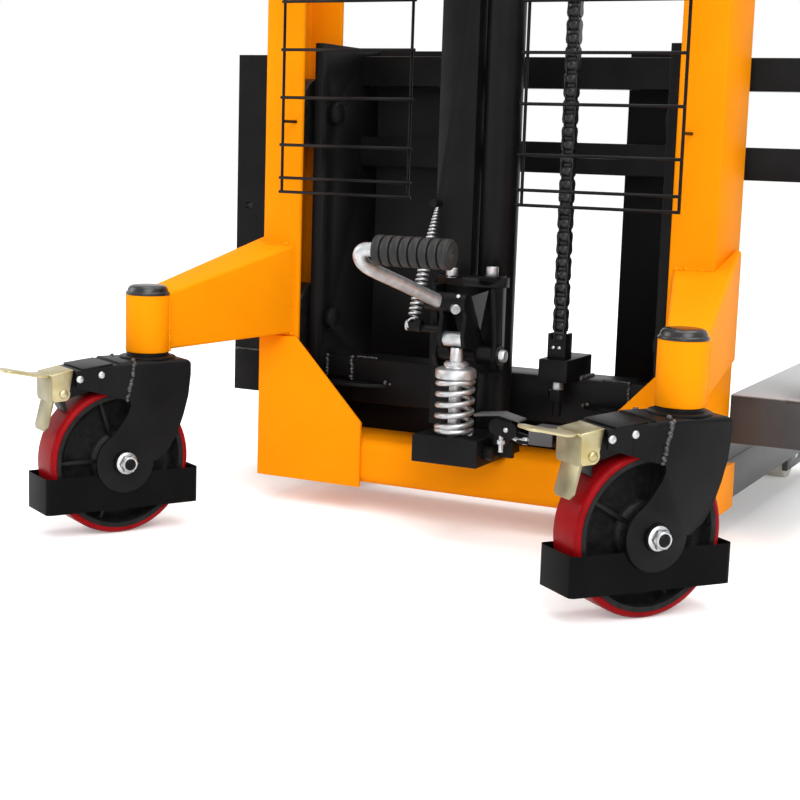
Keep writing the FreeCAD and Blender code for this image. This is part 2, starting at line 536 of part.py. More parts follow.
def casters():
    outside = "(leg_in + fork_plate)"
    for side, sign in SIDES:
        hub = ("-trail", "wheel_r")
        hoop_y = around("-(trail + hoop_shift)", "wheel_r + hoop_room / 2")
        hoop_in = (f"{hoop_y[0]} + hoop_plate", f"{hoop_y[1]} - hoop_plate")
        hoop_z = ("wheel_r - hoop_drop", "wheel_r - hoop_drop + hoop_high")
        hoop = cut(f"hoop_{side}", box(f"hoop_{side}_out", ("-leg_in", "leg_in"), hoop_y, hoop_z),
                   box(f"hoop_{side}_in", ("-(leg_in - hoop_plate)", "leg_in - hoop_plate"), hoop_in, hoop_z))
        stem = fuse(f"stem_{side}",
                    rod(f"stem_{side}_pin", "z", "pin_r", (HEAD_TOP, f"{TUBE_TOP} + touch_gap"), ("0", "0")),
                    rod(f"stem_{side}_washer", "z", "washer_r", (HEAD_TOP, f"{TUBE_LOW} - touch_gap"),
                        ("0", "0")),
                    hexagon(f"stem_{side}_nut", "z", "pin_nut_r",
                            (f"{TUBE_TOP} + touch_gap", f"{TUBE_TOP} + touch_gap + pin_nut_high"),
                            ("0", "0")))
        reach = f"({outside} + nut_high)"
        axle = fuse(f"axle_{side}",
                    rod(f"axle_{side}_pin", "x", "axle_r", (f"-{reach}", f"{reach} + 3"), hub),
                    hexagon(f"axle_{side}_head", "x", "nut_r", (f"-{reach}", f"-{outside}"), hub),
                    hexagon(f"axle_{side}_nut", "x", "nut_r", (outside, reach), hub))
        core, tread = caster_wheel(side)
        made = {"caster_fork": caster_fork(side), "wheel_guard": hoop, "kingpin": stem, "wheel_axle": axle,
                "wheel_core": core, "wheel_tread": tread, "brake_pedal": brake_pedal(side)}
        for name, piece in made.items():
            node(f"{name}_{side}", placed_on_king(piece, side, sign))


def carriage():
    columns = []
    forks, hangers = [], []
    axles = []
    bars = {place: (from_mast("bar_rear", "bar_rear + bar_deep"),
                    (f"bar_{place}_z", f"bar_{place}_z + bar_high"))
            for place in ("low", "up")}
    across = ("-((post_half - fork_inset) + fork_width)", "(post_half - fork_inset) + fork_width")
    node("fork_bars", *[box(f"bar_{place}", across, *spans) for place, spans in bars.items()])
    for side, sign in SIDES:
        inner = f"{sign} * (post_half - side_inset)"
        outer = f"{sign} * ((post_half - side_inset) + side_plate)"
        lip = f"{sign} * (post_half - front_inset)"
        rear, front = from_mast("side_rear", "side_front")
        back = behind("side_front - side_plate")
        angle = [(inner, rear), (outer, rear), (outer, front), (lip, front), (lip, back), (inner, back)]
        through = mirrored(sign, "(post_half - side_inset)", "(post_half - side_inset) + side_plate")
        tools = [box(f"slot_{side}_{place}", through, *spans) for place, spans in bars.items()]
        for place in ("low", "up"):
            centre = (behind("post_depth / 2"), f"roller_{place}_z")
            tools.append(rod(f"stub_hole_{side}_{place}", "x", "roller_axle_r", through, centre))
            axles.append(fuse(
                f"stub_{side}_{place}",
                rod(f"stub_{side}_{place}_pin", "x", "roller_axle_r",
                    mirrored(sign, "(post_half - side_inset)", "(post_half - roller_inset) + roller_half"),
                    centre),
                rod(f"stub_{side}_{place}_head", "x", "roller_head_r",
                    mirrored(sign, "(post_half - side_inset) - roller_head", "(post_half - side_inset)"),
                    centre),
                rod(f"stub_{side}_{place}_collar", "x", "roller_head_r",
                    mirrored(sign, "(post_half - side_inset) + side_plate",
                             "(post_half - roller_inset) - roller_half - touch_gap"), centre)))
            node(f"mast_roller_{side}_{place}", ring(
                f"roller_{side}_{place}", "x", "roller_r", "roller_axle_r + run_clear",
                mirrored(sign, "(post_half - roller_inset) - roller_half",
                         "(post_half - roller_inset) + roller_half"), centre))
        columns.append(cut(f"column_{side}",
                           plate(f"column_{side}_angle", "XY_Plane", angle, "side_low", "side_top"), *tools))
        blade, hanger = lift_fork(side, sign)
        forks.append(blade)
        hangers.append(hanger)
    node("carriage_sides", *columns)
    node("lift_forks", *forks)
    node("fork_hangers", *hangers)
    node("roller_axles", *axles)
    node("cross_tube", cross_tube())


def cross_tube():
    """The square tube between the two sides, with a smaller link at each end."""
    across = ("-(post_half - tube_inset)", "(post_half - tube_inset)")
    rear, front = "tube_rear", "tube_rear + tube_size"
    skin = box("cross_skin", across, from_mast(rear, front), ("tube_z", "tube_z + tube_size"))
    room = box("cross_room", across, from_mast(f"{rear} + tube_wall", f"{front} - tube_wall"),
               ("tube_z + tube_wall", "tube_z + tube_size - tube_wall"))
    pieces = [cut("cross_hollow", skin, room)]
    for side, sign in SIDES:
        pieces.append(box(f"link_{side}",
                          mirrored(sign, "(post_half - tube_inset)", "(post_half - side_inset)"),
                          from_mast(rear, f"{rear} + link_deep"),
                          ("tube_z + tube_size - link_high", "tube_z + tube_size")))
    return fuse("cross_whole", *pieces)


def lift_fork(side, sign):
    """One fork: a folded blade, open below, with its hanger plate and a side web at the heel."""
    top = "fork_low + fork_high"
    outer = "(post_half - fork_inset) + fork_width"
    wide = mirrored(sign, "(post_half - fork_inset)", outer)
    rear, tip = from_mast("fork_rear", "fork_rear + fork_long")
    knee = behind("fork_rear + fork_long - fork_taper")
    blade = plate(f"blade_{side}", "YZ_Plane",
                  [(rear, "fork_low"), (knee, "fork_low"), (tip, f"{top} - fork_tip"), (tip, top),
                   (rear, top)], *wide)
    room = box(f"blade_room_{side}",
               mirrored(sign, "(post_half - fork_inset) + fork_wall", f"{outer} - fork_wall"),
               (f"{rear} + fork_wall", f"{knee}"), ("fork_low", f"{top} - fork_wall"))
    high = "bar_up_z + bar_high"
    seat = f"{top} - fork_wall / 2"
    strip, root = mirrored(sign, f"{outer} - shank_wide", outer), from_mast("fork_rear",
                                                                            "fork_rear + shank_deep")
    hanger = box(f"hanger_{side}", strip, root, (seat, high))
    flank, run = mirrored(sign, f"{outer} - fork_wall", outer), from_mast("fork_rear + shank_deep",
                                                                          "fork_rear + web_long")
    web = box(f"web_{side}_plate", flank, run, (seat, f"{top} + web_high"))
    notches = [box(f"shank_notch_{side}", strip, root, (seat, top)),
               box(f"web_notch_{side}", flank, run, (seat, top))]
    hole = rod(f"lock_hole_{side}", "y", "lock_hole_r", from_mast("fork_rear", "fork_rear + shank_deep"),
               (f"{sign} * ({outer} - lock_hole_in)", "lock_hole_z"))
    return cut(f"blade_{side}_folded", blade, room, *notches), cut(f"fork_{side}",
                                                                   fuse(f"shank_{side}_whole", hanger, web),
                                                                   hole)


def lifting_gear():
    foot = "beam_top + block_high"
    axis = ("lift_x", behind("lift_y"))
    barrel = ring("barrel", "z", "barrel_r", "barrel_bore", (foot, "barrel_top"), axis)
    gland = ring("gland", "z", "gland_r", "ram_r + run_clear", ("barrel_top", "barrel_top + gland_high"),
                 axis)
    dead = "(chain_y - 2 * chain_r)"
    reach, back = "(chain_x + dead_end_side)", behind(f"{dead} - chain_high / 4")
    shelf = plate("dead_shelf", "XY_Plane",
                  [("lift_x - barrel_r", back), (reach, back), (reach, behind(f"{dead} + dead_end_side")),
                   ("lift_x + barrel_r + touch_gap", behind(f"{dead} + dead_end_side")),
                   ("lift_x + barrel_r + touch_gap", axis[1]),
                   ("lift_x - barrel_r", axis[1])], "dead_end_z", "dead_end_z + dead_end_high")
    shelf = cut("dead_shelf_fitted", shelf,
                rod("shelf_seat", "z", "barrel_bore + 1", ("dead_end_z", "dead_end_z + dead_end_high"), axis))
    node("lift_cylinder", fuse("barrel_whole", barrel, shelf), gland)
    yoke_low = "barrel_top + gland_high + touch_gap"
    hub = (behind("chain_y - chain_r"), "sheave_z")
    deep = around(hub[0], "yoke_deep")
    head = (yoke_low, f"{yoke_low} + yoke_base")
    pieces = [rod("ram_rod", "z", "ram_r", ("ram_low", yoke_low), axis),
              rod("piston", "z", "barrel_bore - run_clear", ("ram_low", "ram_low + piston_high"), axis),
              box("yoke_block", around("lift_x", "yoke_half"), around(behind("lift_y"), "yoke_half"), head),
              box("yoke_arm", ("lift_x", "chain_x + yoke_gap + yoke_plate"), deep, head),
              rod("sheave_pin", "x", "sheave_axle_r", around("chain_x", "yoke_gap + yoke_plate"), hub)]
    for number, sign in enumerate((-1, 1)):
        edge = f"chain_x + {sign} * yoke_gap"
        far = f"chain_x + {sign} * (yoke_gap + yoke_plate)"
        pieces.append(box(f"yoke_cheek_{number}", (edge, far) if sign > 0 else (far, edge), deep,
                          (yoke_low, "sheave_z + yoke_deep")))
    node("ram", fuse("ram_whole", *pieces))
    groove = "chain_r - chain_high / 2 - touch_gap"
    chain_span = around("chain_x", "chain_wide / 2")
    node("chain_wheel",
         ring("sheave", "x", groove, "sheave_axle_r + run_clear", around("chain_x", "sheave_half"), hub))
    hoop = ring("chain_hoop", "x", "chain_r + chain_high / 2", "chain_r - chain_high / 2", chain_span, hub)
    lower = box("hoop_lower", chain_span, around(hub[0], "chain_r + chain_high"),
                ("sheave_z - chain_r - chain_high", "sheave_z"))
    node("chain_over_wheel", cut("hoop_upper", hoop, lower))
    anchors(chain_span)
    node("oil_tank", oil_tank(foot))


def anchors(chain_span):
    """The bolted block that hangs the carriage on the chain, and the chain's two strands."""
    seat = "tube_z + tube_size"
    top = f"{seat} + anchor_high"
    stud = ("chain_x", behind("chain_y"))
    block = box("anchor_block", around("chain_x", "anchor_half"), from_mast("anchor_rear", "anchor_front"),
                (seat, top))
    clevis = box("anchor_clevis", around("chain_x", "clevis_half"), around(behind("chain_y"), "clevis_half"),
                 (top, f"{top} + clevis_high"))
    pieces = [block, clevis, rod("anchor_stud", "z", "stud_r", ("stud_low", seat), stud)]
    for number in range(2):
        low = f"{seat} - {number + 1} * (anchor_nut_high + {number})"
        pieces.append(hexagon(f"anchor_nut_{number}", "z", "anchor_nut_r",
                              (low, f"{low} + anchor_nut_high"), stud))
    node("chain_anchor", fuse("anchor_whole", *pieces))
    live, dead = (around(behind(place), "chain_high / 2") for place in ("chain_y", "chain_y - 2 * chain_r"))
    node("lift_chain", box("strand_live", chain_span, live, (f"{top} + clevis_high", "sheave_z - touch_gap")))
    node("dead_chain",
         box("strand_dead", chain_span, dead, ("dead_end_z + dead_end_high", "sheave_z - touch_gap")))


def oil_tank(foot):
    """A rectangular reservoir beside the cylinder, with a peg for the pedal's spring."""
    wide = ("tank_left", "tank_right")
    deep = from_mast("tank_rear", "tank_rear + tank_deep")
    skin = box("tank_skin", wide, deep, (foot, "tank_top"))
    room = box("tank_room", ("tank_left + tank_wall", "tank_right - tank_wall"),
               from_mast("tank_rear + tank_wall", "tank_rear + tank_deep - tank_wall"),
               (foot, "tank_top - tank_wall"))
    peg = rod("spring_peg", "y", "hook_r", from_mast("spring_top_y - 8", "tank_rear"),
              ("spring_top_x", "spring_top_z + spring_eye"))
    return fuse("tank_whole", cut("tank_hollow", skin, room), peg)


def foot_pump():
    base, foot = "beam_top", "beam_top + block_high"
    axis = ("stroke_x", behind("pump_y"))
    block = box("block", around("stroke_x", "block_half"), from_mast("block_rear", "block_front"),
                (base, foot))
    well = rod("pump_well", "z", "plunger_r + run_clear", (f"{base} + well_floor", foot), axis)
    node("pump_block", cut("block_drilled", block, well))
    rod_top = "rocker_z + 20"
    seat = f"{foot} + coil_high"
    node("pump_plunger", fuse(
        "plunger_whole", rod("plunger_rod", "z", "plunger_r",
                             (f"{foot} - 10", f"{rod_top} - contact_r + 1"), axis),
        rod("spring_seat", "z", "seat_r", (f"{seat} + touch_gap", f"{seat} + seat_high"), axis),
        rod("seat_collar", "z", "collar_r", (f"{seat} + seat_high", f"{seat} + seat_high + collar_high"),
            axis)))
    rise = size("coil_high") - 2 * size("wire_r")
    coil = Part.makeHelix(rise / size("coil_turns"), rise, size("coil_r"))
    start = FreeCAD.Vector(size("coil_r"), 0, 0)
    section = Part.Wire([Part.makeCircle(size("wire_r"), start, FreeCAD.Vector(0, 1, 0))])
    spring = Part.Wire(coil).makePipeShell([section], True, True)
    coded("pump_spring", spring, (*axis, f"{foot} + wire_r"))
    bracket()
    rocker(rod_top)
    return_spring()
    release_valve()


def bracket():
    """The pump's bracket on the cylinder: back plate, two ears for the rocker pin, bolted top plate."""
    rear = "tank_rear"
    back = box("ear_back", ("tank_left", "lift_x + barrel_r"), from_mast(f"{rear} - back_plate", rear),
               ("rocker_z - 26", "ear_top"))
    face = behind(f"{rear} - back_plate")
    ear = [(face, "ear_top"), (behind("rocker_y - 20"), "ear_top"), (behind("rocker_y - 9"), "rocker_z + 14"),
           (behind("rocker_y - 14"), "rocker_z - 4"), (behind("rocker_y - 6"), "rocker_z - 18"),
           (face, "rocker_z - 22")]
    pin = (behind("rocker_y"), "rocker_z")
    pieces = [back]
    holes = []
    for number, sign in enumerate((-1, 1)):
        low, high = mirrored(sign, "ear_in", "ear_in + ear_plate")
        span = (f"pump_x + ({low})", f"pump_x + ({high})")
        pieces.append(plate(f"ear_{number}", "YZ_Plane", ear, *span))
        holes.append(rod(f"ear_hole_{number}", "x", "rocker_pin_r", span, pin))
    wing = "ear_in + ear_plate + 3"
    nose = behind(f"{rear} - back_plate - plate_nose")
    flank = behind(f"{rear} - back_plate - 8")
    flat = [(f"pump_x - ({wing})", behind(rear)), (f"pump_x - ({wing})", flank), ("pump_x", nose),
            (f"pump_x + {wing}", flank), (f"pump_x + {wing}", behind(rear))]
    pieces.append(plate("ear_lid", "XY_Plane", flat, "ear_top", "ear_top + top_plate"))
    bolt_y = behind(f"{rear} - back_plate - 5")
    bolts = []
    for number, sign in enumerate((-1, 1)):
        place = (f"pump_x + {sign} * bolt_half", bolt_y)
        holes.append(rod(f"lid_hole_{number}", "z", "bolt_r", ("ear_top", "ear_top + top_plate"), place))
        bolts.append(fuse(f"lid_bolt_{number}", rod(f"lid_bolt_{number}_shank", "z", "bolt_r",
                                                    ("ear_top - 10", "ear_top + 2 * top_plate"), place),
                          hexagon(f"lid_bolt_{number}_head", "z", "bolt_head_r",
                                  ("ear_top + 2 * top_plate", "ear_top + 2 * top_plate + bolt_head"), place)))
    clamp = plate("clamp", "XY_Plane", flat, "ear_top + top_plate", "ear_top + 2 * top_plate")
    drilled = cut("clamp_drilled", clamp, *[
        rod(f"clamp_hole_{number}", "z", "bolt_r", ("ear_top + top_plate", "ear_top + 2 * top_plate"),
            (f"pump_x + {sign} * bolt_half", bolt_y)) for number, sign in enumerate((-1, 1))])
    node("pump_bracket", cut("bracket_drilled", fuse("bracket_whole", *pieces), *holes), drilled)
    pivot = rod("pivot_pin", "x", "rocker_pin_r", around("pump_x", "(ear_in + ear_plate + 6)"), pin)
    node("bracket_fasteners", *bolts, pivot)


def rocker(rod_top):
    """The foot lever: two curved plates on the pivot, the contact roller, the bent bar and its grip."""
    y, z = "rocker_y", "rocker_z"
    curve = [(behind(f"{y} + 8"), f"{z} - 8"), (behind(f"{y} + 8"), f"{z} + 12"),
             (behind(f"{y} - 14"), f"{z} + 46"),
             (behind("socket_y + 8"), "socket_z + 10"), (behind("socket_y - 10"), "socket_z + 4"),
             (behind("socket_y - 4"), f"{z} + 48"), (behind("pump_y - 12"), f"{z} + 26"),
             (behind("pump_y - 8"), f"{z} + 12"),
             (behind("pump_y + 12"), f"{z} + 9"), (behind(f"{y} - 14"), f"{z} + 3"),
             (behind(f"{y} - 8"), f"{z} - 10")]
    hub = around("pump_x", "ear_in - touch_gap")
    pieces = [rod("rocker_hub", "x", "rocker_hub_r", hub, (behind(y), z)),
              rod("rocker_socket", "x", "socket_r", ("pump_x - ear_in", "pump_x + rocker_in + rocker_plate"),
                  (behind("socket_y"), "socket_z")),
              rod("rocker_arm_pin", "x", "hook_r", ("hook_x - 6", "pump_x - rocker_in"),
                  (behind("hook_y"), "hook_z"))]
    for number, sign in enumerate((-1, 1)):
        low, high = mirrored(sign, "rocker_in", "rocker_in + rocker_plate")
        pieces.append(plate(f"rocker_plate_{number}", "YZ_Plane", curve, f"pump_x + ({low})",
                            f"pump_x + ({high})"))
    bore = rod("rocker_bore", "x", "rocker_pin_r + run_clear", hub, (behind(y), z))
    node("rocker_arm", cut("rocker_drilled", fuse("rocker_whole", *pieces), bore))
    node("rocker_roller", rod("contact", "x", "contact_r", around("pump_x", "rocker_in"),
                              (behind("pump_y"), f"{rod_top} + 1 + touch_gap")))
    start = (size("pump_x") - size("ear_in") + 4, size("mast_y") + size("socket_y"), size("socket_z"))
    bend = (size("pedal_left"), size("mast_y") + size("pedal_y"), size("pedal_z"))
    end = (size("pedal_right"), size("mast_y") + size("pedal_y"), size("pedal_z"))
    bar = swept_tube([start, bend, end], size("bar_r"), size("pedal_bend"))
    socket = Part.makeCylinder(size("socket_r"), size("ear_in"),
                               FreeCAD.Vector(size("pump_x") - size("ear_in"), start[1], start[2]),
                               FreeCAD.Vector(1, 0, 0))
    coded("pedal_bar", bar.cut(socket))
    node("pedal_grip",
         ring("grip", "x", "grip_r", "bar_r", ("grip_left", "pedal_right - 2"),
              (behind("pedal_y"), "pedal_z")))


def return_spring():
    """The tension spring that lifts the pedal, as its outer form, from the tank's peg to the rocker."""
    top = FreeCAD.Vector(size("spring_top_x"), size("mast_y") + size("spring_top_y"), size("spring_top_z"))
    low = FreeCAD.Vector(size("hook_x"), size("mast_y") + size("hook_y"), size("hook_z"))
    pull = (low - top).normalize()
    length = top.distanceToPoint(low) - size("hook_r") - size("touch_gap") - 1
    coded("return_spring", Part.makeCylinder(size("spring_r"), length, top, pull))


def release_valve():
    """The lowering valve on the pump block's side, and the foot lever that opens it."""
    side = "stroke_x + block_half"
    body = rod("valve_body", "x", "valve_r", (side, f"{side} + valve_long"), (behind("valve_y"), "valve_z"))
    ear = box("valve_ear", (side, "lever_x + 10"), from_mast("valve_y + 12", "valve_y + 18"),
              ("valve_z - 6", "lever_z + 8"))
    pin = rod("lever_pin", "y", "lever_pin_r", from_mast("valve_y - 6", "valve_y + 12"),
              ("lever_x", "lever_z"))
    node("release_valve", fuse("valve_whole", body, ear, pin))
    low, high = from_mast("valve_y - lever_half", "valve_y + lever_half")
    arch = [("lever_x - 10", "lever_z - 6"), ("lever_x - 8", "lever_z + 9"), ("lever_x + 10", "lever_z + 14"),
            ("lever_x + lever_long", "lever_z + 2"), ("lever_x + lever_long", "lever_z - 2"),
            ("lever_x + 12", "lever_z + 4"),
            ("lever_x + 6", "lever_z - 8")]
    foot = box("foot", ("lever_x + lever_long - foot_long", "lever_x + lever_long"),
               around(behind("valve_y"), "foot_half"),
               ("lever_z + 2", "lever_z + 2 + foot_plate"))
    bore = rod("lever_bore", "y", "lever_pin_r + run_clear", (low, high), ("lever_x", "lever_z"))
    node("release_lever",
         cut("lever_drilled", fuse("lever_whole", plate("lever_arch", "XZ_Plane", arch, low, high), foot),
             bore))


def guards():
    """Two welded wire panels behind the mast, on short stand-offs from the posts."""
    panels = []
    rows = 1 + int((size("guard_top") - size("guard_z")) / size("mesh_pitch"))
    bays = int(size("mesh_bays"))
    step = "((post_half - guard_inset - guard_in) / mesh_bays)"
    back, near = behind("-guard_back"), behind("-guard_back + weld_depth * wire_guard_r")
    levels = ["guard_z",
              "guard_z + guard_step"] + [f"guard_z + {row} * mesh_pitch" for row in range(1, rows + 1)]
    for side, sign in SIDES:
        edge = "(post_half - guard_inset)"
        wires = []
        for number, level in enumerate(levels):
            span = mirrored(sign, "guard_in - 3 * wire_guard_r", f"{edge} + wire_guard_r")
            wires.append(rod(f"wire_{side}_{number}", "x", "wire_guard_r", span, (back, level)))
        for number in range(bays + 1):
            place = f"{sign} * (guard_in + {number} * {step})"
            wires.append(rod(f"upright_{side}_{number}", "z", "wire_guard_r",
                             ("guard_z - wire_guard_r", f"guard_z + {rows} * mesh_pitch + wire_guard_r"),
                             (place, near)))
        for number, row in enumerate((2, rows // 2, rows - 1)):
            wires.append(rod(f"standoff_{side}_{number}", "y", "wire_guard_r", (near, "mast_y"),
                             (f"{sign} * {edge}", f"guard_z + {row} * mesh_pitch - mesh_pitch / 2")))
        panels.append(fuse(f"panel_{side}", *wires))
    node("mesh_guards", *panels)


def push_handle():
    x, rear, sink = size("post_half") - size("handle_inset"), size("mast_y"), size("handle_sink")
    back = rear - size("handle_back")
    points = [(-x, rear, size("handle_low")), (-x, back, size("handle_high")),
              (x, back, size("handle_high")), (x, rear, size("handle_low"))]
    foot = size("handle_low") - sink * (size("handle_high") - size("handle_low")) / size("handle_back")
    tube = swept_tube([(-x, rear + sink, foot)] + points[1:3] + [(x, rear + sink, foot)], size("handle_r"),
                      size("handle_bend"))
    keep = Part.makeBox(4 * x, 4 * x, size("mast_top"), FreeCAD.Vector(-2 * x, rear - 4 * x, 0))
    coded("push_handle", tube.common(keep))
    node("handle_grips",
         *[ring(f"sleeve_{side}", "x", "sleeve_r", "handle_r", mirrored(sign, "sleeve_in", "sleeve_out"),
                                (behind("-handle_back"), "handle_high")) for side, sign in SIDES])


def main():
    mast_and_base()
    swivel_heads()
    legs()
    casters()
    carriage()
    lifting_gear()
    foot_pump()
    guards()
    push_handle()
    doc.recompute()
    for piece in doc.Objects:
        if "Invalid" in piece.State or "Error" in piece.State:
            raise RuntimeError(f"{piece.Name} did not build: {piece.State}")
    os.makedirs("parts", exist_ok=True)
    for name, piece in nodes.items():
        if piece.Shape.isNull() or not piece.Shape.isValid() or not piece.Shape.Solids:
            raise RuntimeError(f"{name} has no valid solid")
    for name, piece in nodes.items():
        piece.Shape.exportStep(f"parts/{name}.step")


main()
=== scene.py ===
"""Looks of the hand pallet stacker: paint, plating, castings, welds, chain and springs around its solids.

Shapes are worked out in millimetres. X is to the operator's right, Y runs forward from the mast's rear
face, and Z is up.
"""
import json
import math
import random

import bmesh
import bpy
from mathutils import Matrix, Vector

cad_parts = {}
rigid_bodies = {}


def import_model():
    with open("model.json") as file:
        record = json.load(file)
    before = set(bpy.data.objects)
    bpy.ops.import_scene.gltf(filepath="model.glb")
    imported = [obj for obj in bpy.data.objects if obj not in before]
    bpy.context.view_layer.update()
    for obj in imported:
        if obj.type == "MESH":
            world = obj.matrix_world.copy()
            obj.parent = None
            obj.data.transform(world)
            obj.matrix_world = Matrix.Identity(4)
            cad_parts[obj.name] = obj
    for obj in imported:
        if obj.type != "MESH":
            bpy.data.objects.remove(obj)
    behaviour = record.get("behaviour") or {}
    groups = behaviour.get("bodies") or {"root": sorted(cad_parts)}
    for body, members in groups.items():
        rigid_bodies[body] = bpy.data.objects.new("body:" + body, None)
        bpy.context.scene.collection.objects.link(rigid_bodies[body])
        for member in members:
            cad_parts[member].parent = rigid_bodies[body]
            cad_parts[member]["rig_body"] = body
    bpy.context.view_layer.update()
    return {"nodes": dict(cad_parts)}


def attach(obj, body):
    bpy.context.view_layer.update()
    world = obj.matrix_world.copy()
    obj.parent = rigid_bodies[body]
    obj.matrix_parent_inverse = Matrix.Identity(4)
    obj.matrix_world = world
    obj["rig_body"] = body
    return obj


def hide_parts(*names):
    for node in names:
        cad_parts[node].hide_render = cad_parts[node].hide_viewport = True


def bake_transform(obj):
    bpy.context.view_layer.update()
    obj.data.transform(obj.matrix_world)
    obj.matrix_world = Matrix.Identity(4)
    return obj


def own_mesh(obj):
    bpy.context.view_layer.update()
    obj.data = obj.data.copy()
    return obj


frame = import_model()

# units, sides and directions
MM = 0.001
MAST_Y = -238
TO_FRAME = Matrix.Scale(MM, 4) @ Matrix.Translation((0, MAST_Y, 0))
SIDES = {"left": -1, "right": 1}
AXES = {"x": Vector((1, 0, 0)), "y": Vector((0, 1, 0)), "z": Vector((0, 0, 1))}

# edges: steps of a rounded one, the least angle that counts as sharp, what counts as flat, merging distance
ROUND_STEPS = 2
SHARP, FLAT = math.radians(28), math.radians(0.6)
MERGE = 0.001

# casters: kingpin, swivel angle, trail, wheel, first rib's angle, outer face of the legs, brake pin
KING_X, KING_BACK = 340, 216
SWIVEL = {"left": -29.8, "right": -38.3}
TRAIL, WHEEL_R = 45, 90
RIB_START = {"left": 90, "right": 60}
LEG_OUT = 37
BRAKE_BACK, BRAKE_Z = 119, 176.5

# lifting chain: pins across, on a nine-tooth wheel that rides on the ram
CHAIN_X, CHAIN_Y, CHAIN_R, PITCH = 111.5, 23, 23.2, 15.875
CHAIN_LOW, CHAIN_TOP = 256, 1195
FIRST_PIN = CHAIN_LOW - 6
SHELF, RAM_TRAVEL = 1005, 705
LIVE_LINKS, LINKS_BESIDE_WHEEL = 56, 3
TEETH = 9
TOOTH_ANGLE = 360 / TEETH
WHEEL_HUB = Matrix.Translation((CHAIN_X, CHAIN_Y - CHAIN_R, CHAIN_TOP))

# foot pump: bracket, stroke line, block and spring
PUMP_X, STROKE_X, PUMP_Y, BLOCK_TOP, SPRING_TOP, STROKE = 6, 10, -62, 131, 201, 15.2
PIVOT = (PUMP_X, -22, 228)
STUD = (0, -50, 260)
GRIP_Y, GRIP_Z = -182, 360.5


# materials

RAMP_STOPS = (0.3, 0.7)
DRIFT_DETAIL, SPECKLE_DETAIL = 5, 3
RELIEF = 0.0006
# the height over which a painted top highlight fades in
HIGHLIGHT_BAND = 0.002


def noise(nodes, links, place, scale, detail):
    """The values of a noise at a place."""
    texture = nodes.new("ShaderNodeTexNoise")
    texture.inputs["Scale"].default_value = scale
    texture.inputs["Detail"].default_value = detail
    links.new(place, texture.inputs["Vector"])
    return texture.outputs["Fac"]


def ramped(nodes, links, value, colours, stops):
    """A colour that runs from the first to the second as a value passes from stop to stop."""
    ramp = nodes.new("ShaderNodeValToRGB")
    for element, stop, colour in zip(ramp.color_ramp.elements, stops, colours):
        element.position = stop
        element.color = (*colour, 1)
    links.new(value, ramp.inputs["Fac"])
    return ramp.outputs["Color"]


def highlit_above(nodes, links, place, paint, height, highlight_colour):
    """Paint that gives way to a lighter colour above a height: a painted highlight on top faces."""
    parts = nodes.new("ShaderNodeSeparateXYZ")
    links.new(place, parts.inputs["Vector"])
    rise = nodes.new("ShaderNodeMapRange")
    rise.inputs["From Min"].default_value = height - HIGHLIGHT_BAND
    rise.inputs["From Max"].default_value = height
    links.new(parts.outputs["Z"], rise.inputs["Value"])
    mix = nodes.new("ShaderNodeMixRGB")
    mix.inputs["Color2"].default_value = (*highlight_colour, 1)
    links.new(rise.outputs["Result"], mix.inputs["Fac"])
    links.new(paint, mix.inputs["Color1"])
    return mix.outputs["Color"]


def surface(name, colours, rough, metallic=0.0, grain=60, speckle=900, bump=0.05, shine=0.5, top_highlight=None):
    """A finish whose colour drifts softly, with a fine speckle in its roughness and relief.

    Top highlight is a pair of a height and the lighter colour painted above it, a painted highlight on top
    faces."""
    material = bpy.data.materials.new(name)
    material.use_nodes = True
    nodes, links = material.node_tree.nodes, material.node_tree.links
    shader = nodes["Principled BSDF"]
    shader.inputs["Metallic"].default_value = metallic
    shader.inputs["Specular IOR Level"].default_value = shine
    place = nodes.new("ShaderNodeTexCoord").outputs["Object"]
    colour = ramped(nodes, links, noise(nodes, links, place, grain, DRIFT_DETAIL), colours, RAMP_STOPS)
    if top_highlight:
        colour = highlit_above(nodes, links, place, colour, *top_highlight)
    links.new(colour, shader.inputs["Base Color"])
    fine = noise(nodes, links, place, speckle, SPECKLE_DETAIL)
    span = nodes.new("ShaderNodeMapRange")
    span.inputs["To Min"].default_value = rough[0]
    span.inputs["To Max"].default_value = rough[1]
    links.new(fine, span.inputs["Value"])
    links.new(span.outputs["Result"], shader.inputs["Roughness"])
    relief = nodes.new("ShaderNodeBump")
    relief.inputs["Strength"].default_value = bump
    relief.inputs["Distance"].default_value = RELIEF
    links.new(fine, relief.inputs["Height"])
    links.new(relief.outputs["Normal"], shader.inputs["Normal"])
    return material


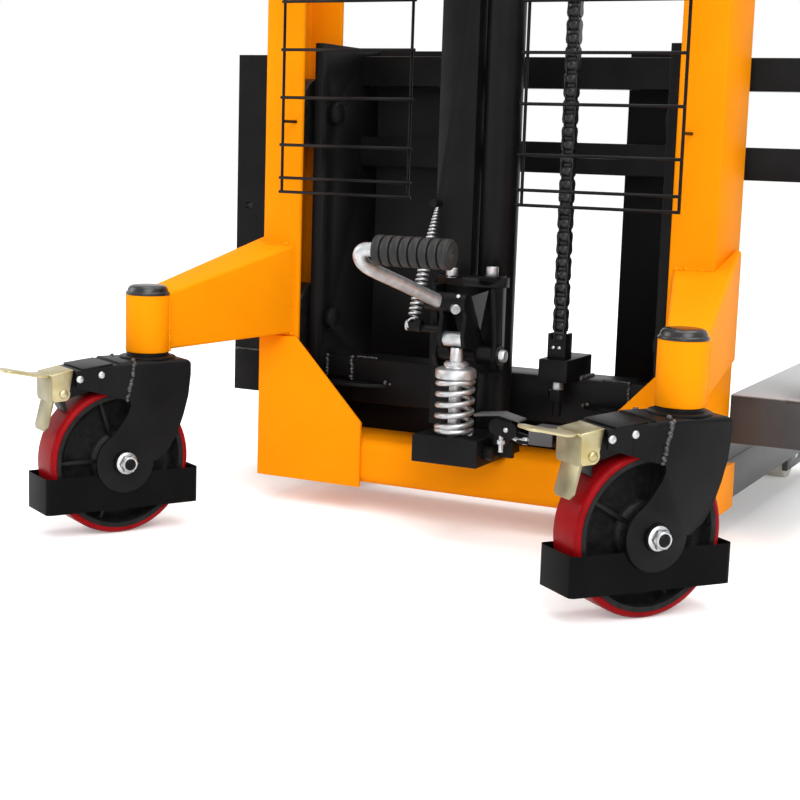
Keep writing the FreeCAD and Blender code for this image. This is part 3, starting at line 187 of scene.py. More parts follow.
FINISHES = {
    "yellow_paint": surface(
        "orange enamel", ((0.86, 0.262, 0.001), (0.93, 0.290, 0.002)), (0.5, 0.62),
        grain=9, speckle=420, bump=0.04, shine=0.03),
    "black_paint": surface(
        "black powder coat", ((0.0036, 0.0036, 0.004), (0.0066, 0.0066, 0.007)), (0.3, 0.46),
        grain=22, speckle=1100, bump=0.12, shine=0.1),
    "weld_grey": surface(
        "weld bead", ((0.018, 0.0175, 0.017), (0.10, 0.098, 0.096)), (0.26, 0.44),
        metallic=0.5, grain=420, speckle=1600, bump=0.3),
    "fork_grey": surface(
        "grey leg paint", ((0.062, 0.062, 0.064), (0.084, 0.084, 0.086)), (0.36, 0.5),
        grain=14, speckle=700, bump=0.06, shine=0.25),
    # darker grey whose top faces get a lighter colour: a painted highlight for the grazing reflection on the
    # forks' tops
    "fork_top_highlit": surface(
        "grey fork paint", ((0.040, 0.040, 0.042), (0.058, 0.058, 0.060)), (0.32, 0.46),
        grain=14, speckle=700, bump=0.06, shine=0.25, top_highlight=(0.1885, (0.36, 0.36, 0.365))),
    "zinc_steel": surface(
        "satin zinc", ((0.40, 0.41, 0.42), (0.57, 0.58, 0.59)), (0.34, 0.48),
        metallic=0.94, grain=130, speckle=1500, bump=0.05),
    "yellow_zinc": surface(
        "yellow passivated zinc", ((0.40, 0.325, 0.145), (0.53, 0.48, 0.305)), (0.28, 0.44),
        metallic=1.0, grain=38, speckle=1300, bump=0.05),
    # darker olive zinc: partly the plating's own tint, partly painted shade for the end plate and tab that
    # face away from the light
    "shaded_olive_zinc": surface(
        "olive zinc and painted shade", ((0.20, 0.185, 0.105), (0.34, 0.30, 0.19)), (0.3, 0.46),
        metallic=1.0, grain=30, speckle=1300, bump=0.05),
    "chain_steel": surface(
        "oiled chain steel", ((0.006, 0.006, 0.006), (0.018, 0.018, 0.0175)), (0.22, 0.4),
        metallic=0.35, grain=160, speckle=1200, bump=0.08, shine=0.45),
    "roller_steel": surface(
        "browned roller steel", ((0.010, 0.010, 0.010), (0.030, 0.029, 0.028)), (0.3, 0.48),
        metallic=0.5, grain=90, speckle=1200, bump=0.06),
    "ram_chrome": surface(
        "hard chrome", ((0.30, 0.305, 0.315), (0.38, 0.385, 0.395)), (0.1, 0.18),
        metallic=1.0, grain=40, speckle=2000, bump=0.01),
    "cast_core": surface(
        "black casting", ((0.004, 0.004, 0.004), (0.012, 0.012, 0.012)), (0.34, 0.58),
        grain=120, speckle=420, bump=0.9, shine=0.16),
    "red_tread": surface(
        "red polyurethane", ((0.20, 0.002, 0.004), (0.29, 0.005, 0.007)), (0.28, 0.42),
        grain=34, speckle=800, bump=0.04, shine=0.06),
    "black_rubber": surface(
        "moulded rubber", ((0.010, 0.010, 0.010), (0.018, 0.018, 0.018)), (0.42, 0.6),
        grain=70, bump=0.12, shine=0.3),
    "cap_gloss": surface(
        "glossy cap", ((0.006, 0.006, 0.006), (0.010, 0.010, 0.010)), (0.2, 0.32),
        bump=0.03, shine=0.45),
    "roller_nylon": surface(
        "turned nylon", ((0.62, 0.60, 0.52), (0.74, 0.72, 0.64)), (0.42, 0.55)),
}


# shaping helpers

def vertices_of(geom):
    """The vertices among an operator's results."""
    return [v for v in geom if isinstance(v, bmesh.types.BMVert)]


def bevel(bm, edges, width, steps):
    """Rounds edges to a width and returns the new vertices."""
    made = bmesh.ops.bevel(bm, geom=edges, offset=width, offset_type="OFFSET", affect="EDGES", segments=steps,
                           profile=0.5, material=-1, clamp_overlap=True)
    return list(made["verts"])


def round_edges(bm, verts, soft, least=SHARP):
    """Rounds every edge between these vertices that is sharper than the least angle."""
    chosen = set(verts)
    bm.normal_update()
    edges = [e for e in bm.edges if e.verts[0] in chosen and e.verts[1] in chosen
             and len(e.link_faces) == 2 and abs(e.calc_face_angle(0)) > least]
    made = bevel(bm, edges, soft, ROUND_STEPS)
    return [v for v in chosen if v.is_valid] + made


def prism(bm, outline, axis, low, high, soft=0.0):
    """Pushes an outline along an axis from low to high and rounds its edges. Returns the new vertices."""
    def spot(a, b):
        return {"x": (low, a, b), "y": (a, low, b), "z": (a, b, low)}[axis]

    face = bm.faces.new([bm.verts.new(spot(a, b)) for a, b in outline])
    moved = vertices_of(bmesh.ops.extrude_face_region(bm, geom=[face], use_keep_orig=True)["geom"])
    bmesh.ops.translate(bm, verts=moved, vec=AXES[axis] * (high - low))
    verts = list(face.verts) + moved
    if soft:
        verts = round_edges(bm, verts, soft)
    return verts


def block(bm, x, y, z, soft=0.0):
    """A rounded block between three pairs of limits."""
    return prism(bm, [(x[0], y[0]), (x[1], y[0]), (x[1], y[1]), (x[0], y[1])], "z", z[0], z[1], soft)


def grown(verts):
    """Every vertex joined by edges to these ones."""
    seen, waiting = set(verts), list(verts)
    while waiting:
        for edge in waiting.pop().link_edges:
            for v in edge.verts:
                if v not in seen:
                    seen.add(v)
                    waiting.append(v)
    return list(seen)


def lathe(bm, profile, centre, axis, steps=48):
    """Spins a profile of (radius, place along the axis) points about an axis through a centre."""
    along, out = AXES[axis], AXES["x" if axis == "z" else "z"]
    centre = Vector(centre)
    verts = [bm.verts.new(centre + out * r + along * t) for r, t in profile]
    edges = [bm.edges.new(pair) for pair in zip(verts, verts[1:])]
    made = bmesh.ops.spin(bm, geom=verts + edges, cent=centre, axis=along, dvec=(0, 0, 0), angle=math.tau,
                          steps=steps, use_merge=True)
    fresh = set(vertices_of(made["geom_last"])) | set(verts)
    bmesh.ops.remove_doubles(bm, verts=grown(fresh), dist=MERGE)
    return grown({v for v in fresh if v.is_valid})


def moved_to(bm, verts, place):
    """Sets these vertices in place with a matrix."""
    bmesh.ops.transform(bm, matrix=place, verts=list({v for v in verts if v.is_valid}))


def polar(radius, degrees):
    """A point at a distance from the origin and an angle."""
    return radius * math.cos(math.radians(degrees)), radius * math.sin(math.radians(degrees))


def arc(centre, radius, start, end, count):
    """Points on an arc between two angles in degrees."""
    points = [polar(radius, start + (end - start) * k / count) for k in range(count + 1)]
    return [(centre[0] + a, centre[1] + b) for a, b in points]


def hexagon(bm, centre, axis, radius, low, high, soft=0.8):
    """A hexagonal nut or bolt head between two places along an axis."""
    first, second = {"x": (1, 2), "y": (0, 2), "z": (0, 1)}[axis]
    return prism(bm, arc((centre[first], centre[second]), radius, 0, 300, 5), axis, low, high, soft)


def facing(centre, direction):
    """A placing matrix at a centre whose z axis points along a direction."""
    return Matrix.Translation(centre) @ Vector(direction).to_track_quat("Z", "Y").to_matrix().to_4x4()


def dome(bm, place, radius, high):
    """A rivet's head that stands on the plane z = 0 of a placing matrix."""
    rim = 0.25 * high
    crown = [(radius * math.cos(t), rim + (high - rim) * math.sin(t)) for t in (0.5, 1.0, 1.35)]
    moved_to(bm, lathe(bm, [(radius, 0), (radius, rim), *crown, (0, high)], (0, 0, 0), "z", 20), place)


def tube(bm, points, radius, sides=6, smooth=False):
    """A round bar or wire along points, from a curve with a round bevel."""
    curve = bpy.data.curves.new("path", "CURVE")
    curve.dimensions = "3D"
    curve.bevel_depth = radius
    curve.bevel_resolution = sides
    curve.use_fill_caps = True
    spline = curve.splines.new("NURBS" if smooth else "POLY")
    spline.points.add(len(points) - 1)
    for target, spot in zip(spline.points, points):
        target.co = (*spot, 1)
    if smooth:
        spline.use_endpoint_u = True
        spline.order_u = 4
        curve.resolution_u = 6
    carrier = bpy.data.objects.new("path", curve)
    bm.from_mesh(carrier.to_mesh())
    carrier.to_mesh_clear()
    bpy.data.objects.remove(carrier)
    bpy.data.curves.remove(curve)


def weld(bm, points, radius, seed):
    """A lumpy bead of overlapping blobs along a line of points."""
    spacing, stray = 0.85 * radius, 0.25
    dice = random.Random(seed)
    for start, end in zip(points, points[1:]):
        start, end = Vector(start), Vector(end)
        count = max(2, int((end - start).length / spacing))
        for k in range(count):
            jog = Vector([dice.uniform(-stray, stray) * radius for _ in range(3)])
            spot = start.lerp(end, (k + dice.uniform(-stray, stray)) / (count - 1)) + jog
            size = radius * dice.uniform(0.75, 1.2)
            angle = dice.uniform(0, math.tau)
            turn = Matrix.Rotation(angle, 4, Vector((dice.random(), dice.random(), dice.random() + 0.1)))
            squat = Matrix.Diagonal((size, size * 0.9, size * 0.8, 1))
            place = Matrix.Translation(spot) @ turn @ squat
            bmesh.ops.create_icosphere(bm, subdivisions=2, radius=1, matrix=place)


def linked(verts):
    """These vertices with their edges and faces."""
    verts = [v for v in verts if v.is_valid]
    edges = {e for v in verts for e in v.link_edges}
    faces = {f for v in verts for f in v.link_faces}
    return verts + list(edges) + list(faces)


def cut_off(bm, geom, spot, way):
    """Cuts away what lies beyond a plane and closes the cut."""
    made = bmesh.ops.bisect_plane(bm, geom=geom, dist=1e-7, plane_co=spot, plane_no=way, clear_outer=True)
    bmesh.ops.holes_fill(bm, edges=[e for e in made["geom_cut"] if isinstance(e, bmesh.types.BMEdge)])


# pieces

def piece(name, bm, finish, body, *stands_for, place=None, sharp=38):
    """A piece from a bmesh in millimetres, with a finish, that rides on a body and stands for CAD nodes."""
    if place:
        bm.transform(place)
    bm.transform(TO_FRAME)
    bmesh.ops.recalc_face_normals(bm, faces=bm.faces)
    return shown(name, bm, finish, body, *stands_for, sharp=sharp)


def shown(name, bm, finish, body, *stands_for, sharp=38):
    """Puts a bmesh in the frame's units into the scene, smooth between its sharp edges."""
    mesh = bpy.data.meshes.new(name)
    bm.to_mesh(mesh)
    bm.free()
    mesh.polygons.foreach_set("use_smooth", [True] * len(mesh.polygons))
    mesh.set_sharp_from_angle(angle=math.radians(sharp))
    obj = bpy.data.objects.new(name, mesh)
    bpy.context.scene.collection.objects.link(obj)
    mesh.materials.append(FINISHES[finish])
    if body:
        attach(obj, body)
    if stands_for:
        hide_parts(*stands_for)
    return obj


def merge_triangles(bm, distance):
    """Joins the loose triangles of a CAD node's copy into flat faces."""
    bmesh.ops.remove_doubles(bm, verts=bm.verts, dist=distance)
    bmesh.ops.dissolve_limit(bm, angle_limit=FLAT, verts=bm.verts, edges=bm.edges)


def softened(node, finish, soft, cut=None):
    """A copy of a CAD node with its sharp edges rounded. A cut is a pair of a place and a direction."""
    source = frame["nodes"][node]
    bm = bmesh.new()
    bm.from_mesh(source.data)
    merge_triangles(bm, MERGE * MM)
    if cut:
        cut_off(bm, bm.verts[:] + bm.edges[:] + bm.faces[:], TO_FRAME @ Vector(cut[0]), cut[1])
    if soft:
        round_edges(bm, bm.verts, soft * MM)
    return shown(f"{node}_finish", bm, finish, source["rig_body"], node)


def shifted(node, name, finish, left, right):
    """A copy of a CAD node whose left and right halves each move or stretch a little with a matrix."""
    source = frame["nodes"][node]
    bm = bmesh.new()
    bm.from_mesh(source.data)
    bm.transform(TO_FRAME.inverted())
    bmesh.ops.remove_doubles(bm, verts=bm.verts, dist=MERGE)
    halves = [[v for v in bm.verts if v.co.x < 0], [v for v in bm.verts if v.co.x >= 0]]
    for half, matrix in zip(halves, (left, right)):
        moved_to(bm, half, matrix)
    return piece(name, bm, finish, source["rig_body"], node)


def stretch_from(x, share):
    """A matrix that stretches along X about one place."""
    return Matrix.Translation((x * (1 - share), 0, 0)) @ Matrix.Scale(share, 4, AXES["x"])


# casters

def caster_place(side):
    """From the caster's own frame, kingpin at the origin and trail along -Y, to the mast's."""
    return (Matrix.Translation((SIDES[side] * KING_X, -KING_BACK, 0))
            @ Matrix.Rotation(math.radians(SWIVEL[side]), 4, "Z"))


def caster_piece(name, side, bm, finish, *stands_for, body="caster", sharp=38):
    """A piece of one caster, made in the caster's own frame."""
    nodes = [f"{node}_{side}" for node in stands_for]
    piece(f"{name}_{side}", bm, finish, f"{body}_{side}", *nodes, place=caster_place(side), sharp=sharp)


def both_halves(half):
    """A wheel's closed profile from the half on one side of its middle."""
    profile = half + [(r, -t) for r, t in reversed(half)]
    return profile + [profile[0]]


def wheel(side):
    """A bonded red tread with round shoulders on a ribbed casting."""
    hub, ribs = (0, -TRAIL, WHEEL_R), 5
    bm = bmesh.new()
    half = [(82.8, 24.2)] + [(r, t) for t, r in arc((18.8, 83.8), 6.2, 4, 90, 6)]
    lathe(bm, both_halves(half), hub, "x", 96)
    caster_piece("tread", side, bm, "red_tread", "wheel_tread", body="wheel")
    bm = bmesh.new()
    half = [(8.2, 27.5), (17, 27.5), (19.5, 26), (22, 22), (24, 15), (32, 13.5), (34, 12), (36, 7), (66, 5.5),
            (71, 8), (74.5, 14), (76, 21), (77.4, 24.2), (80, 24.9), (82.8, 24.6)]
    lathe(bm, both_halves(half), hub, "x", 72)
    for k in range(ribs):
        angle = math.radians(RIB_START[side] - 360 / ribs * k)
        for sign in (-1, 1):
            rib = prism(bm, [(-2.8, 20), (2.8, 20), (2.2, 77), (-2.2, 77)], "x", sign * 4, sign * 15.5, 1.1)
            moved_to(bm, rib, Matrix.Translation(hub) @ Matrix.Rotation(angle, 4, "X"))
    caster_piece("wheel_casting", side, bm, "cast_core", "wheel_core", body="wheel")


def axle(side):
    """The wheel's bolt: a flanged lock nut outside one leg and a bolt head on a washer outside the other."""
    hub, spacer, washer, nut_radius, bolt_radius = (0, -TRAIL, WHEEL_R), 3.5, 2, 11.6, 7.9
    out, seat = LEG_OUT + spacer, -LEG_OUT - washer
    bm = bmesh.new()
    lathe(bm, [(6, out), (13, out), (13.4, out + 1.2), (11.6, out + 3), (10, out + 3.4)], hub, "x")
    hexagon(bm, hub, "x", nut_radius, out + 2, out + 8.6, 1.0)
    lathe(bm, [(9.8, out + 8), (9.6, out + 10), (8.6, out + 11.2), (7.2, out + 11), (6.8, out + 9)], hub, "x")
    lathe(bm, [(6, -LEG_OUT), (14, -LEG_OUT), (14, seat), (6, seat)], hub, "x")
    hexagon(bm, hub, "x", nut_radius, seat - 7, seat, 1.0)
    tube(bm, [(seat, -TRAIL, WHEEL_R), (out + 8, -TRAIL, WHEEL_R)], bolt_radius, 8)
    caster_piece("axle", side, bm, "zinc_steel", "wheel_axle")
    bm = bmesh.new()
    lathe(bm, [(0, out + 12.5), (4.8, out + 12.5), (6.6, out + 11), (6.7, out + 7)], hub, "x", 24)
    lathe(bm, [(8, LEG_OUT), (14.4, LEG_OUT), (14.8, LEG_OUT + 0.6), (14.8, out - 0.4), (8, out - 0.1)],
          hub, "x", 32)
    caster_piece("axle_end", side, bm, "black_paint")


def hoop(side):
    """The folded strip round the wheel that keeps feet out."""
    low, tall, half, front, rear, corner, strip = 32, 44, 33, 55, -143.5, 6, 4
    right, fore, aft = half - corner, front - corner, rear + corner
    bm = bmesh.new()
    outline = []
    for k, centre in enumerate(((right, fore), (-right, fore), (-right, aft), (right, aft))):
        outline += arc(centre, corner, 90 * k, 90 * k + 90, 4)
    face = bm.faces.new([bm.verts.new((x, y, low)) for x, y in outline])
    bmesh.ops.inset_region(bm, faces=[face], thickness=strip, use_boundary=True, use_even_offset=True)
    bmesh.ops.delete(bm, geom=[face], context="FACES")
    pushed = bmesh.ops.extrude_face_region(bm, geom=list(bm.faces), use_keep_orig=True)
    bmesh.ops.translate(bm, verts=vertices_of(pushed["geom"]), vec=(0, 0, tall))
    bmesh.ops.recalc_face_normals(bm, faces=bm.faces)
    round_edges(bm, list(bm.verts), 0.8, math.radians(60))
    caster_piece("wheel_hoop", side, bm, "black_paint", "wheel_guard")


def fork_frame(side):
    """The caster's pressed head and legs, folded along the head's top."""
    top, front, fold, near = 213, 41.5, 6, 0.05
    bm = bmesh.new()
    bm.from_mesh(frame["nodes"][f"caster_fork_{side}"].data)
    bm.transform((TO_FRAME @ caster_place(side)).inverted())
    merge_triangles(bm, MERGE)

    def folded(edge):
        a, b = (v.co for v in edge.verts)
        on_top = abs(a.z - top) < near and abs(b.z - top) < near
        along = abs(abs(a.x) - LEG_OUT) < near and abs(a.x - b.x) < near
        across = abs(a.y - front) < near and abs(b.y - front) < near
        return on_top and (along or across)

    bevel(bm, [e for e in bm.edges if folded(e)], fold, 5)
    round_edges(bm, list(bm.verts), 0.8)
    caster_piece("fork_frame", side, bm, "black_paint", "caster_fork")


def brake_housing(side):
    """The cover over the brake with its flared cheeks, the beads that join it to the legs, and its rivets."""
    cheek, rear, bend, slope = 30, -76, -51.5, math.radians(6.8)
    lid = [(-31, -1), (31, -1), (31, 0.5), (30.2, 1.2), (-30.2, 1.2), (-31, 0.5)]
    plan = ((cheek, rear), (cheek + 0.9, rear), (LEG_OUT, bend), (cheek, bend))
    bm = bmesh.new()
    moved_to(bm, prism(bm, lid, "y", -22, 17, 0.5),
             Matrix.Translation((0, rear, 208.6)) @ Matrix.Rotation(slope, 4, "X"))
    for sign in (-1, 1):
        flare = prism(bm, [(sign * x, y) for x, y in plan], "z", 160, 207.5)
        cut_off(bm, linked(flare), (0, bend, 168.8), (0, -0.34, -1))
    caster_piece("housing_cover", side, bm, "black_paint", sharp=50)
    bm = bmesh.new()
    for sign in (-1, 1):
        rise = [(sign * LEG_OUT, -43, 168), (sign * 37.2, -38, 190), (sign * 36.6, -34, 209)]
        weld(bm, rise, 3.0, f"{side}{sign}")
        weld(bm, [(sign * 35.6, -33, 211.4), (sign * 31, -33, 213)], 3.0, f"{side}{sign}t")
    caster_piece("housing_welds", side, bm, "weld_grey", sharp=60)
    bm = bmesh.new()
    for sign in (-1, 1):
        for back, z in ((101, 194.4), (73.4, 198.3)):
            dome(bm, facing((sign * 30.4, -back, z), (sign, 0, 0)), 4.6, 2.6)
    caster_piece("housing_rivets", side, bm, "zinc_steel")


def thrust_disc(side):
    """The kingpin with its foot under the caster's head, and the disc below the swivel tube."""
    centre = (0, 0, 0)
    bm = bmesh.new()
    lathe(bm, [(0, 220.2), (25.4, 220.2), (26, 219.6), (26, 216.4), (33, 215.8), (34.4, 215), (34.6, 213.2),
               (0, 213.2)], centre, "z")
    tube(bm, [(0, 0, 215), (0, 0, 287)], 14.9, 8)
    lathe(bm, [(0, 213), (8, 213), (16, 207), (16, 202), (0, 202)], centre, "z")
    caster_piece("thrust_disc", side, bm, "black_paint", "kingpin")


def brake(side):
    """The pressed pedal: deck, tongue, cheeks round the pin and the pin in yellow zinc, end plate and tab in
    a darker olive zinc that is partly painted shade, and the rubber shoe.
    """
    fold, inner, tip, half, sheet = -134, -106.5, -188, 24, 3.4
    bm = bmesh.new()
    deck = [(inner, 202), (fold, 196.6), (fold, 196.6 + sheet), (inner, 202 + sheet)]
    prism(bm, deck, "x", -half, half, 0.8)
    run = [(-131, 197), (-137, 196), (-146, 196.4), (-160, 199.4), (-176, 202.8), (tip, 204.2)]
    prism(bm, run + [(y, z + 3.2) for y, z in reversed(run)], "x", -17, 17)
    at_tip = [e for e in bm.edges if all(abs(v.co.y - tip) < 0.1 for v in e.verts)]
    bevel(bm, [e for e in at_tip if abs(e.verts[0].co.x - e.verts[1].co.x) < 0.1], 8, 5)
    round_edges(bm, [v for v in bm.verts if v.co.y < -130.5], 0.7)
    cheek = [(inner, 203.6), (fold + 0.8, 198.6), (fold + 0.8, 167)]
    cheek += arc((-BRAKE_BACK, BRAKE_Z), 8.6, 265, 385, 8)
    for sign in (-1, 1):
        prism(bm, cheek, "x", sign * (half - sheet), sign * half, 0.7)
        dome(bm, facing((sign * 23.8, -BRAKE_BACK, BRAKE_Z), (sign, 0, 0)), 5.6, 3.4)
    tube(bm, [(-26, -BRAKE_BACK, BRAKE_Z), (26, -BRAKE_BACK, BRAKE_Z)], 4.9, 5)
    caster_piece("brake_lever", side, bm, "yellow_zinc", "brake_pedal", body="brake")
    # the end plate and tab take the darker olive zinc, partly the plating's tint and partly painted shade
    bm = bmesh.new()
    plate = [(-half, 197.2), (23.6, 197.2), (23.6, 168), (22, 166), (-20, 166), (-half, 170)]
    prism(bm, plate, "y", fold - 0.3, fold + 2.8, 0.7)
    tab = prism(bm, [(-12, 4), (24, 4), (24, -29), (19, -35), (-8, -35), (-13, -30)], "y", -1.6, 1.6, 0.7)
    moved_to(bm, tab, Matrix.Translation((0, fold + 1.2, 166)) @ Matrix.Rotation(math.radians(-13.5), 4, "X"))
    caster_piece("brake_plate", side, bm, "shaded_olive_zinc", body="brake")
    bm = bmesh.new()
    shoe = [(-114, BRAKE_Z), (-110.2, 154), (-112.3, 152.6), (-115.3, 156.4), (-124, BRAKE_Z)]
    prism(bm, shoe, "x", -12, 12, 0.8)
    caster_piece("brake_shoe", side, bm, "black_rubber", body="brake")


def caster(side):
    """One swivel caster with its brake."""
    wheel(side)
    axle(side)
    hoop(side)
    fork_frame(side)
    brake_housing(side)
    thrust_disc(side)
    brake(side)


def stem_caps():
    """The rubber caps in the swivel tubes' upper ends."""
    seat = 291
    cap = [(0, 12), (15, 11.9), (20, 11.2), (22.8, 9.6), (24.4, 7), (25.2, 4), (26.8, 3), (27.2, 1.6),
           (27, 0), (18.5, 0), (18.5, -12), (0, -12)]
    bm = bmesh.new()
    for sign in SIDES.values():
        lathe(bm, cap, (sign * KING_X, -KING_BACK, seat), "z", 56)
    piece("stem_domes", bm, "cap_gloss", "chassis", "stem_caps")


# lifting chain

def link(bm, place, outer):
    """One pitch of chain upwards from a pin: two waisted plates round a core, a roller and the pin."""
    gap, plate, eye, waist = 6.9 if outer else 5.3, 1.5, 6.6, 4.6
    half = [(eye * math.sin(t), -eye * math.cos(t)) for t in (0, 0.7, 1.4)] + [(waist, 0.5 * PITCH)]
    shape = half + [(y, PITCH - z) for y, z in reversed(half[:-1])]
    shape = shape + [(-y, z) for y, z in reversed(shape[1:-1])]
    verts = []
    for sign in (-1, 1):
        verts += prism(bm, shape, "x", sign * gap, sign * (gap + plate))
    verts += prism(bm, [(-2.6, 0), (2.6, 0), (2.6, PITCH), (-2.6, PITCH)], "x", -4.6, 4.6)
    roller = [(0, -5.2), (6, -5.2), (7.1, -3.6), (7.1, 3.6), (6, 5.2), (0, 5.2)]
    verts += lathe(bm, roller, (0, 0, 0), "x", 12)
    verts += lathe(bm, [(0, -8.6), (2.4, -8.4), (2.5, 8.4), (0, 8.6)], (0, 0, 0), "x", 8)
    moved_to(bm, verts, place)


def straight_links(bm, y, low, counts):
    """Straight links, counted upwards from a low end."""
    for k in counts:
        link(bm, Matrix.Translation((CHAIN_X, y, low + k * PITCH)), k % 2)


def live_strand():
    """The run from the carriage's anchor towards the wheel, which closes up as the carriage rises."""
    bm = bmesh.new()
    straight_links(bm, CHAIN_Y, FIRST_PIN, range(LIVE_LINKS))
    live = piece("live_strand", bm, "chain_steel", "carriage", "lift_chain")
    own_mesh(live)


def dead_strand():
    """The run from the barrel's shelf to the wheel, which stretches as the ram rises."""
    y, low = CHAIN_Y - 2 * CHAIN_R, SHELF + 4
    bm = bmesh.new()
    straight_links(bm, y, low, range(int((CHAIN_TOP - low) / PITCH)))
    dead = piece("dead_strand", bm, "chain_steel", None, "dead_chain")
    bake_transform(dead)


def chain_on_wheel():
    """The links round the wheel and the straight ones beside it, which ride on the ram."""
    count, start = 5, -4
    lean = Matrix.Rotation(math.radians(TOOTH_ANGLE / 2), 4, "X")
    bm = bmesh.new()
    for k in range(count):
        turn = Matrix.Rotation(math.radians(TOOTH_ANGLE * k + start), 4, "X")
        link(bm, WHEEL_HUB @ turn @ Matrix.Translation((0, CHAIN_R, 0)) @ lean, k % 2)
    straight_links(bm, CHAIN_Y, FIRST_PIN, range(LIVE_LINKS, LIVE_LINKS + LINKS_BESIDE_WHEEL))
    piece("chain_on_wheel", bm, "chain_steel", "ram", "chain_over_wheel")


def toothed_wheel():
    """The chain wheel with its hub."""
    tooth = ((-13, 17.8), (-5, 24), (5, 24), (13, 17.8))
    bm = bmesh.new()
    rim = [polar(r, TOOTH_ANGLE * k + a) for k in range(TEETH) for a, r in tooth]
    hub = [(7.1, -10.8), (11.5, -10.8), (12, -10), (12, 10), (11.5, 10.8), (7.1, 10.8)]
    moved_to(bm, prism(bm, rim, "x", -4.4, 4.4, 0.6) + lathe(bm, hub, (0, 0, 0), "x", 32), WHEEL_HUB)
    piece("toothed_wheel", bm, "chain_steel", "chain_wheel", "chain_wheel")


def chain_anchor():
    """The block on the cross tube with a forked chain end above it, and a stud with two nuts below."""
    centre, low, rear = (CHAIN_X, CHAIN_Y, 0), 198, 11.5
    bm = bmesh.new()
    block(bm, (92.5, 130.5), (2, 90), (low, 226), 1.2)
    cheeks = [(99.5, 225), (123.5, 225), (123.5, 257.5), (119.8, 257.5), (119.8, 250), (103.2, 250),
              (103.2, 257.5), (99.5, 257.5)]
    prism(bm, cheeks, "y", rear, 35, 1)
    hexagon(bm, centre, "z", 12.6, 172, 186, 1.2)
    lathe(bm, [(0, 152), (4, 152.4), (5.4, 154), (5.4, 199), (0, 199)], centre, "z", 24)
    piece("anchor_block", bm, "black_paint", "carriage", "chain_anchor")
    bm = bmesh.new()
    hexagon(bm, centre, "z", 7.6, 186, low, 0.9)
    for x in (107.3, 115.3):
        dome(bm, facing((x, rear + 0.1, 240), (0, -1, 0)), 2.4, 1.6)
    piece("anchor_nut_and_pins", bm, "zinc_steel", "carriage")


# foot pump

def thick_coil():
    """The pump's spring under the plunger's seat, with close turns at its ends."""
    wire, coil, turns, steps = 3.6, 21.2, 6.4, 28
    close_turns, end_turns, close_rise = 1.4, 2.0, 0.07
    points = []
    for k in range(int(turns * steps) + 1):
        t = k / (turns * steps)
        rise = min(max((t * turns - close_turns) / (turns - end_turns), 0), 1)
        rise += close_rise * min(t * turns / close_turns, 1) * (1 - t)
        angle = math.tau * t * turns
        points.append((STROKE_X + coil * math.cos(angle), PUMP_Y + coil * math.sin(angle),
                       BLOCK_TOP + wire + (SPRING_TOP - BLOCK_TOP - 2 * wire) * rise))
    bm = bmesh.new()
    tube(bm, points, wire, 5)
    spring = piece("thick_coil", bm, "zinc_steel", "chassis", "pump_spring")
    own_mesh(spring)


def tension_spring():
    """The thin spring that lifts the pedal, stretched between the tank's peg and the rocker's stud."""
    top, low = Vector((-45, -14, 411)), Vector((-58, -50, 262))
    coil, ring, turns, steps, wire, hook = 6.9, 6.4, 28, 14, 1.4, 4
    pull = (low - top).normalized()
    side = pull.orthogonal().normalized()
    other = pull.cross(side)
    length = (low - top).length - 10
    points = []
    for k in range(turns * steps + 1):
        # the turns widen and open out downwards, and close in at the lower end
        t = k / (turns * steps)
        wide = coil * min(1, 0.08 + 1.75 * t, 0.5 + 12 * (1 - t))
        angle = math.tau * k / steps
        centre = top + pull * (hook + length * t ** 1.25)
        points.append(centre + (side * math.cos(angle) + other * math.sin(angle)) * wide)
    bm = bmesh.new()
    tube(bm, points, wire, 3)
    angles = [0.3 * k for k in range(21)]
    tube(bm, [low + side * ring * math.cos(a) + pull * ring * math.sin(a) for a in angles], 1.3, 4)
    thin = piece("tension_spring", bm, "zinc_steel", None, "return_spring")
    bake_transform(thin)


def plunger():
    """The plunger with the spring's round seat and a collar above it."""
    z = SPRING_TOP + 0.3
    seat = [(24, 0), (25.4, 1.2), (25.4, 9.6), (24.2, 11.4), (21, 13), (15, 13.8), (14.6, 15), (15.4, 16),
            (15.4, 18.4), (13, 20.6), (8.4, 20.8), (8, 21)]
    bm = bmesh.new()
    lathe(bm, [(0, 122), (8, 122), (8, z)] + [(r, z + t) for r, t in seat] + [(8, 237), (7, 239), (0, 239.4)],
          (STROKE_X, PUMP_Y, 0), "z", 56)
    piece("plunger_and_seat", bm, "zinc_steel", "plunger", "pump_plunger")


def pedal():
    """The bent bar with its ribbed rubber grip."""
    path = [(-8, -62, 291), (-16, -74, 297), (-26, -95, 306.5), (-36, -117, 316), (-46, -138, 325),
            (-56, -160, 334), (-61, -175, 341), (-66, -182, 351), (-61, -183, 361)]
    path += [(x, GRIP_Y, GRIP_Z) for x in (-48, -30, 10, 48)]
    bar_radius = 8.5
    bm = bmesh.new()
    tube(bm, path, bar_radius, 8, smooth=True)
    piece("bent_bar", bm, "zinc_steel", "rocker", "pedal_bar")
    ribs, left, width, groove, crown = 8, -42, 12.2, 14.2, 18
    rib = [(groove, 0), (17.2, 0.3), (crown, 1.4),
           (crown, width - 3.4), (17.2, width - 2.3), (groove, width - 2)]
    profile = [(8.2, left)] + [(r, left + k * width + t) for k in range(ribs) for r, t in rib]
    right = left + ribs * width - 0.6
    end = [(16.6, -1.4), (15.6, 0), (4, 0.4), (3.4, 0), (2, -2), (0, -2)]
    profile += [(r, right + t) for r, t in end]
    bm = bmesh.new()
    lathe(bm, profile, (0, GRIP_Y, GRIP_Z), "x", 48)
    piece("ribbed_grip", bm, "black_rubber", "rocker", "pedal_grip")


